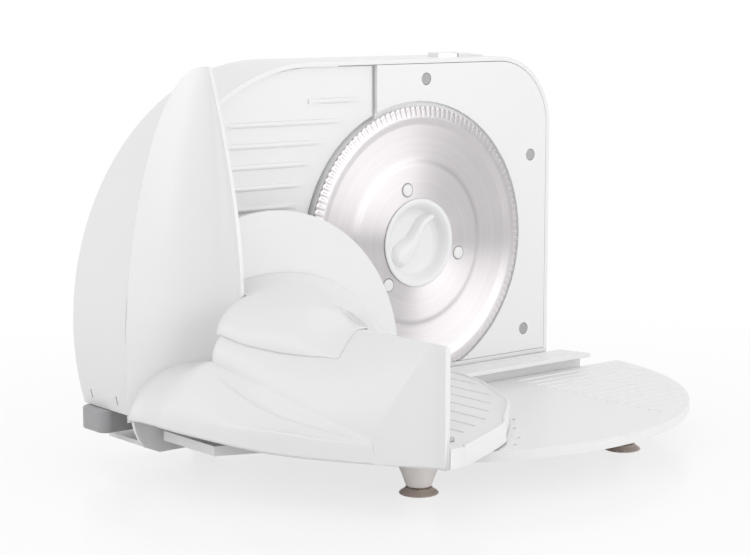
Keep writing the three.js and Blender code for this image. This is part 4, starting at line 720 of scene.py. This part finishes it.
def guard_sheet():
    """The tall hand guard: a concave sheet that comes forward out of the face and rises to a narrow tip."""
    levels, arc = 72, 28
    rows = []
    for i in range(levels + 1):
        z = GUARD_LOW + (GUARD_TOP - GUARD_LOW) * math.sin(i / levels * PI / 2)
        rise = max(z - GUARD_MIDDLE, 0) / (GUARD_TOP - GUARD_MIDDLE)
        far = max(z - GUARD_DEEP, 0) / (GUARD_TOP - GUARD_DEEP)
        reach = mix(*GUARD_REACH, math.sqrt(max(1 - rise**1.65, 0)))
        depth = mix(*GUARD_DEPTH, 1 - far**1.6)
        left, front = GUARD_X - reach, BACK_Y - depth
        outer, inside = [], []
        for k in range(arc + 1):
            a = k / arc * PI / 2
            s, c = math.sin(a), math.cos(a)
            outer.append(P(left + reach * s, front + depth * c, z))
            y = min(front + (depth + GUARD_THICK) * c, BACK_Y)
            inside.append(P(left + (reach + GUARD_THICK) * s, y, z))
        rows.append(outer + inside[::-1])
    mesh = grid_mesh("guard_sheet", rows, close_cols=True, cap=True)
    obj = add_piece("guard_sheet", mesh, "carriage_body", 50, stands=False)
    b = obj.modifiers.new("edge", "BEVEL")
    b.width = 0.0009
    b.segments = 3
    b.limit_method = "ANGLE"
    b.angle_limit = math.radians(50)


guard_sheet()

# ---------------------------------------------------------------- pusher grip
GRIP_BACK, GRIP_FRONT = -14.3, -121.8
GRIP_SIDE_X, GRIP_SIDE_Y = -177.0, -41.6  # behind this y the grip's left side is flat, at this x
GRIP_LIFT = 1.1  # room between the grip and the ridge under it
GRIP_STEPS, GRIP_ACROSS = 110, 96
GRIP_LOW = (-88, -122)  # span in y over which the grip comes down to the ridge

# (share of the way forward, share) of the width right of the top, and of the drop of the top
GRIP_RIGHT = [
    (0.0, 1), (0.06, 0.9), (0.15, 0.78), (0.25, 0.66), (0.4, 0.48), (0.55, 0.3), (0.7, 0.17), (0.85, 0.07), (1.0, 0),
]
GRIP_DROP = [
    (0.0, 0), (0.06, 0.02), (0.15, 0.05), (0.25, 0.09), (0.4, 0.19), (0.55, 0.33), (0.7, 0.52), (0.85, 0.75), (1.0, 1),
]
# (y, x) of the grip's left edge and of the left edge of the thumb's hollow
GRIP_EDGE = [
    (-122, -168.6), (-113, -172.1), (-103.8, -176.3), (-95.1, -180.2), (-85.5, -184.3), (-76.5, -188.8),
    (-67.7, -192.8), (-59.7, -196.0), (-51.5, -198.5), (-45, -200.2), (-14, -203.0),
]
SCOOP = [(-131, -170), (-115, -168), (-100, -166), (-86, -163), (-68, -152), (-58, -138)]
SCOOP_DEEP = 3.0
SCOOP_BACK, SCOOP_FRONT, SCOOP_RIGHT = (-52, -82), (-108, -78), (-72, -102)  # spans in y, y and x


def ridge_top(y, x):
    """Height of the ridge at one place, with its left slope."""
    foot_x, foot_z = foot_place(y)
    if x >= straight(CREST, y):
        return TOP_Z
    if x <= foot_x:
        return foot_z
    return slope_point(y, slope_at(y, x))[1]


def grip_section(y):
    """Places (x, z) over the grip from its left foot on the ridge's slope to its right foot."""
    share = clamp((GRIP_BACK - y) / (GRIP_BACK + 129))
    wide = between(GRIP_RIGHT, share)
    top_x = mix(-135, -155, share)
    top_z = mix(-7, -24.5, between(GRIP_DROP, share))
    right, right_height = mix(9.5, 97, wide), mix(18, 77, wide)
    foot_x = straight(GRIP_EDGE, y)
    foot_z = ridge_top(min(y, RIDGE_END - 0.1), foot_x) + GRIP_LIFT
    low = over(GRIP_LOW, y)
    places = []
    for k in range(GRIP_ACROSS + 1):
        a = PI - PI * k / GRIP_ACROSS
        c, s = abs(math.cos(a)), abs(math.sin(a))
        if a > PI / 2:
            x = top_x - (top_x - foot_x) * c**0.97
            z = foot_z + (top_z - foot_z) * s**0.97
            z = mix(z, max(ridge_top(y, x) + GRIP_LIFT, foot_z), low)
        else:
            x, z = top_x + right * c, top_z - right_height + right_height * s
            if x < RIDGE_X:
                z = mix(z, TOP_Z + GRIP_LIFT, low)
        places.append((x, z))
    return places


def grip_sheet():
    """The pusher's grip: a rounded sheet with a wall and a thumb's hollow."""
    length = GRIP_BACK - GRIP_FRONT
    stations = [GRIP_BACK - k * length / GRIP_STEPS for k in range(GRIP_STEPS + 1)]
    stations = sorted(stations + [GRIP_SIDE_Y + 0.05, GRIP_SIDE_Y - 0.05], reverse=True)
    rows = []
    for y in stations:
        scoop = SCOOP_DEEP * over(SCOOP_BACK, y) * over(SCOOP_FRONT, y)
        row = []
        for x, z in grip_section(y):
            if y > GRIP_SIDE_Y:
                x = max(x, GRIP_SIDE_X)
            z -= scoop * smooth((x - between(SCOOP, y)) / 14) * over(SCOOP_RIGHT, x)
            if x < RIDGE_X + 0.6:
                z = max(z, ridge_top(y, x) + GRIP_LIFT)
            row.append(P(x, y, z))
        rows.append(row)
    mesh = grid_mesh("grip_sheet", rows, up_at=P(-125, -50, -12))
    add_wall(add_piece("grip_sheet", mesh, "pusher_grip", 45), 0.0009)


grip_sheet()

# ---------------------------------------------------------------- plates, shell and base with rounded edges
for node, width in (
    ("pusher_plate", 0.7), ("housing_shell", 0.7), ("blade_plate", 0.6), ("stop_plate", 0.35), ("base", 0.2),
    ("carriage_rail", 0.5), ("food_platform", 0.3), ("base_beam", 1.2), ("rear_cover", 0.6),
    ("power_button", 0.6), ("safety_button", 0.6), ("thickness_dial", 0.6),
    ("plate_plug_1", 0.3), ("plate_plug_2", 0.3), ("plate_plug_3", 0.3),
):
    softened(node, width)

# ---------------------------------------------------------------- ribs and rim
RIB_GAP = 0.004  # metres across the ribs: nearer corners belong to one rib
RIB_TAPER = 0.01  # metres over which a rib's end rises
RIB_ENDS = (0, 0.15, 0.4, 0.7, 0.9, 1)
RIB_EXTRA = 0.0002  # metres that a bar is wider on each side than the CAD rib
RIB_ACROSS = 8


def ribs_of(name, node, axis, sign, rise):
    """Round backed bars over the CAD node's flat topped ribs, found as its outermost points along an axis."""
    points = [nodes[node].matrix_world @ v.co for v in nodes[node].data.vertices]
    cross = 3 - axis
    outer = max(sign * q[axis] for q in points)
    groups = []
    for q in sorted((q for q in points if sign * q[axis] > outer - 2e-5), key=lambda q: q[cross]):
        if groups and q[cross] - groups[-1][0][cross] < RIB_GAP:
            groups[-1].append(q)
        else:
            groups.append([q])
    bm = bmesh.new()
    for group in groups:
        x0, x1 = min(q.x for q in group), max(q.x for q in group)
        low, high = group[0][cross], group[-1][cross]
        half, middle = (high - low) / 2 + RIB_EXTRA, (high + low) / 2
        run = min(RIB_TAPER / (x1 - x0), 0.4)
        start = [mix(x0, x1, share * run) for share in RIB_ENDS]
        places = start + [(x0 + x1) / 2] + [x0 + x1 - x for x in reversed(start)]
        rows = []
        for k, x in enumerate(places):
            inward = min(k, len(places) - 1 - k) / len(RIB_ENDS)
            shrink = math.sin(inward * PI / 2) ** 0.6
            row = []
            for j in range(RIB_ACROSS + 1):
                a = PI * j / RIB_ACROSS
                q = Vector((x, 0, 0))
                q[cross] = middle + half * shrink * math.cos(a)
                q[axis] = sign * (outer - rise * 0.55 + rise * shrink * math.sin(a))
                row.append(bm.verts.new(q))
            rows.append(row)
        for u, v in zip(rows, rows[1:]):
            for j in range(RIB_ACROSS):
                bm.faces.new((u[j], u[j + 1], v[j + 1], v[j]))
    bmesh.ops.recalc_face_normals(bm, faces=bm.faces)
    for f in bm.faces:
        if f.normal[axis] * sign < -0.5:
            f.normal_flip()
    add_piece(name, mesh_of(name, bm), node, 50, stands=False)


ribs_of("base_ribs", "base", 2, 1, 0.0007)
ribs_of("stop_plate_ribs", "stop_plate", 1, -1, 0.0013)


def curve_point(p0, p1, p2, p3, t):
    """A point of the smooth curve from p1 to p2 that p0 and p3 lead in and out of."""
    bend = 2 * p0 - 5 * p1 + 4 * p2 - p3
    twist = 3 * p1 - p0 - 3 * p2 + p3
    return 0.5 * (2 * p1 + (p2 - p0) * t + bend * t**2 + twist * t**3)


def lower_hull(places):
    """The corners of the side of smallest y of the outline round sorted (x, y) places."""
    hull = []
    for q in places:
        while len(hull) > 1:
            (x0, y0), (x1, y1) = hull[-2:]
            if (x1 - x0) * (q[1] - y0) > (y1 - y0) * (q[0] - x0):
                break
            hull.pop()
        hull.append(q)
    return hull


PLATFORM_LEFT, PLATFORM_TOP = -140, -87.3
# (offset outwards, z over the top) round the section of the platform's rim
PLATFORM_RIM = [(0, -0.7), (-0.2, -0.2), (-0.7, 0), (-1.6, 0), (-2.1, -0.2), (-2.4, -0.7), (-2.4, -2.7)]


def platform_rim():
    """A smooth wall round the free edge of the food platform."""
    node = nodes["food_platform"]
    points = [node.matrix_world @ v.co for v in node.data.vertices]
    places = sorted({
        (round((q.x - CENTRE.x) * 1000, 2), round((q.y - CENTRE.y) * 1000, 2)) for q in points
    })
    found = [Vector((x, y, 0)) for x, y in lower_hull(places) if x > PLATFORM_LEFT]
    corners = [q for i, q in enumerate(found) if i == 0 or (q - found[i - 1]).length > 3]
    right_x, front_y = max(q.x for q in corners), min(q.y for q in corners)
    last = len(corners) - 1
    line = []
    for i in range(last):
        four = corners[max(i - 1, 0)], corners[i], corners[i + 1], corners[min(i + 2, last)]
        line += [curve_point(*four, k / 8) for k in range(8)]
    line.append(corners[-1])
    bottom = (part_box("food_platform")[0].z - CENTRE.z) * 1000 + 0.05
    rows = []
    for i, q in enumerate(line):
        ahead = line[min(i + 1, len(line) - 1)] - line[max(i - 1, 0)]
        out = Vector((-ahead.y, ahead.x, 0)).normalized()
        if out.dot(Vector((1, -0.6, 0))) < 0:
            out = -out
        row = [P(min(q.x, right_x), max(q.y, front_y), bottom)]
        for offset, rise in PLATFORM_RIM:
            e = q + out * offset
            row.append(P(min(e.x, right_x), max(e.y, front_y), PLATFORM_TOP + rise))
        rows.append(row)
    mesh = grid_mesh("platform_rim", rows, close_cols=True, cap=True)
    add_piece("platform_rim", mesh, "food_platform", 50, stands=False)


platform_rim()

# ---------------------------------------------------------------- feet
for corner in ("front_left", "front_right", "rear_left", "rear_right"):
    low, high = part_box("foot_" + corner)
    at = Vector(((low.x + high.x) / 2, (low.y + high.y) / 2, 0))
    z0, z1 = low.z * 1000, high.z * 1000
    wide = min((high.x - low.x) * 500, 7.8 + 6.4 * (z1 - 1 - z0) / 12)
    foot = [
        (0.01, z0 + 0.2), (7.4, z0 + 0.2), (8.0, z0 + 1.0), (mix(8, wide, 0.45), mix(z0, z1, 0.5)),
        (wide, z1 - 1.6), (wide, z1), (0.01, z1),
    ]
    lathe("foot_shape_" + corner, foot, "foot_" + corner, "Z", at, sides=56, radius=1.2)
    low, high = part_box("suction_cup_" + corner)
    r, z = (high.x - low.x) * 500, low.z * 1000
    cup = [
        (0.01, z + 1.2), (6.0, z + 1.0), (r - 0.8, z), (r, z + 0.5), (r - 0.7, z + 1.4), (9.4, z + 2.8),
        (8.2, z + 4.0), (0.01, z + 4.1),
    ]
    lathe("cup_shape_" + corner, cup, "suction_cup_" + corner, "Z", at, sides=56, radius=0.5)

# ---------------------------------------------------------------- floor, light and camera
FLOOR_RADIUS = 0.8
FLOOR_DROP = 0.0002  # keeps the floor clear of the cups' undersides
FLOOR_FADE = (0.22, 0.6)  # metres from the middle over which the floor turns white
FLOOR_NEAR = 0.74  # share of white at its middle
WHITE_LIGHT = (1, 1, 1, 1)


def mixed(tree, share, first, second):
    """A mix of two shaders."""
    return joined(tree, "ShaderNodeMixShader", (share, first, second))


def floor_material():
    """Pale and half glossy, and for the camera it turns white away from the object."""
    m, tree, shader = new_material("studio_floor")
    shader.inputs["Base Color"].default_value = (0.93, 0.925, 0.92, 1)
    shader.inputs["Roughness"].default_value = 0.16
    shader.inputs["IOR"].default_value = 1.45
    bright = tree.nodes.new("ShaderNodeEmission")
    bright.inputs["Color"].default_value = WHITE_LIGHT
    path = tree.nodes.new("ShaderNodeLightPath")
    coords = tree.nodes.new("ShaderNodeTexCoord")
    length = tree.nodes.new("ShaderNodeVectorMath")
    length.operation = "LENGTH"
    tree.links.new(coords.outputs["Object"], length.inputs[0])
    far = ramp(tree, length.outputs["Value"], FLOOR_NEAR, 1.0, *FLOOR_FADE)
    seen = maths(tree, "MULTIPLY", far, path.outputs["Is Camera Ray"])
    surface = shader.outputs[0].links[0].to_socket
    tree.links.new(mixed(tree, seen, shader.outputs[0], bright.outputs[0]), surface)
    return m


floor_bm = bmesh.new()
bmesh.ops.create_circle(floor_bm, cap_ends=True, segments=96, radius=FLOOR_RADIUS)
floor = bpy.data.objects.new("studio_floor", mesh_of("studio_floor", floor_bm))
floor.location = (0, 0, -FLOOR_DROP)
floor.data.materials.append(floor_material())
scene.collection.objects.link(floor)

# strengths of the world: on diffuse surfaces, and from the dark to the bright side of what gloss reflects
ROOM_LIGHT = 0.82
ROOM_DARK, ROOM_BRIGHT = 0.6, 1.15
ROOM_TILT = 0.35  # how much the bright side leans to the left


def studio_world():
    """A white surround, of which glossy surfaces see a darker room, bright above, to the left and behind."""
    world = bpy.data.worlds.new("studio")
    world.use_nodes = True
    tree = world.node_tree
    tree.nodes.clear()

    def background(strength):
        n = tree.nodes.new("ShaderNodeBackground")
        n.inputs["Color"].default_value = WHITE_LIGHT
        if isinstance(strength, float):
            n.inputs["Strength"].default_value = strength
        else:
            tree.links.new(strength, n.inputs["Strength"])
        return n.outputs[0]

    path = tree.nodes.new("ShaderNodeLightPath")
    coords = tree.nodes.new("ShaderNodeTexCoord")
    parts = tree.nodes.new("ShaderNodeSeparateXYZ")
    tree.links.new(coords.outputs["Generated"], parts.inputs[0])
    tilt = maths(tree, "SUBTRACT", parts.outputs["Z"], maths(tree, "MULTIPLY", parts.outputs["X"], ROOM_TILT))
    room = ramp(tree, tilt, ROOM_DARK, ROOM_BRIGHT, 0.0, 0.5)
    behind = ramp(tree, parts.outputs["Y"], 0.0, 1.0, -0.3, 0.05)
    glossy = background(maths(tree, "MAXIMUM", room, behind))
    on_object = mixed(tree, path.outputs["Is Glossy Ray"], background(ROOM_LIGHT), glossy)
    seen = maths(tree, "MAXIMUM", path.outputs["Is Camera Ray"], path.outputs["Is Transmission Ray"])
    out = tree.nodes.new("ShaderNodeOutputWorld")
    tree.links.new(mixed(tree, seen, on_object, background(1.0)), out.inputs[0])
    return world


scene.world = studio_world()


def area(name, place, target, size, power):
    """A rectangular lamp that faces a target."""
    data = bpy.data.lights.new(name, "AREA")
    data.shape = "RECTANGLE"
    data.size, data.size_y = size
    data.energy = power
    lamp = bpy.data.objects.new(name, data)
    lamp.location = place
    lamp.rotation_euler = (Vector(target) - Vector(place)).to_track_quat("-Z", "Y").to_euler()
    scene.collection.objects.link(lamp)


area("key", (0.7, -1.6, 0.85), (0, 0, 0.1), (1.4, 1.0), 4.2)
area("low", (0.7, -1.8, 0.35), (0, 0, 0.05), (1.8, 0.6), 6)
area("side", (-1.8, 0.3, 0.6), (0, 0, 0.1), (1.2, 1.0), 3.6)

# the camera, fitted to the photograph's outlines
CAMERA_PLACE = (-865.5, -995.4, 170.0)
CAMERA_LOOK = (0.63167, 0.76141, -0.14575)
CAMERA_RIGHT = (0.76963, -0.63850, 0.0)
camera_data = bpy.data.cameras.new("camera")
camera_data.sensor_width = 36
camera_data.lens = 91.954
camera_data.clip_end = 50
camera = bpy.data.objects.new("camera", camera_data)
look, right = Vector(CAMERA_LOOK).normalized(), Vector(CAMERA_RIGHT).normalized()
turn = Matrix((right, right.cross(look).normalized(), -look)).transposed()
camera.matrix_world = Matrix.Translation(P(*CAMERA_PLACE)) @ turn.to_4x4()
scene.collection.objects.link(camera)
scene.camera = camera
scene.view_settings.view_transform = "Standard"
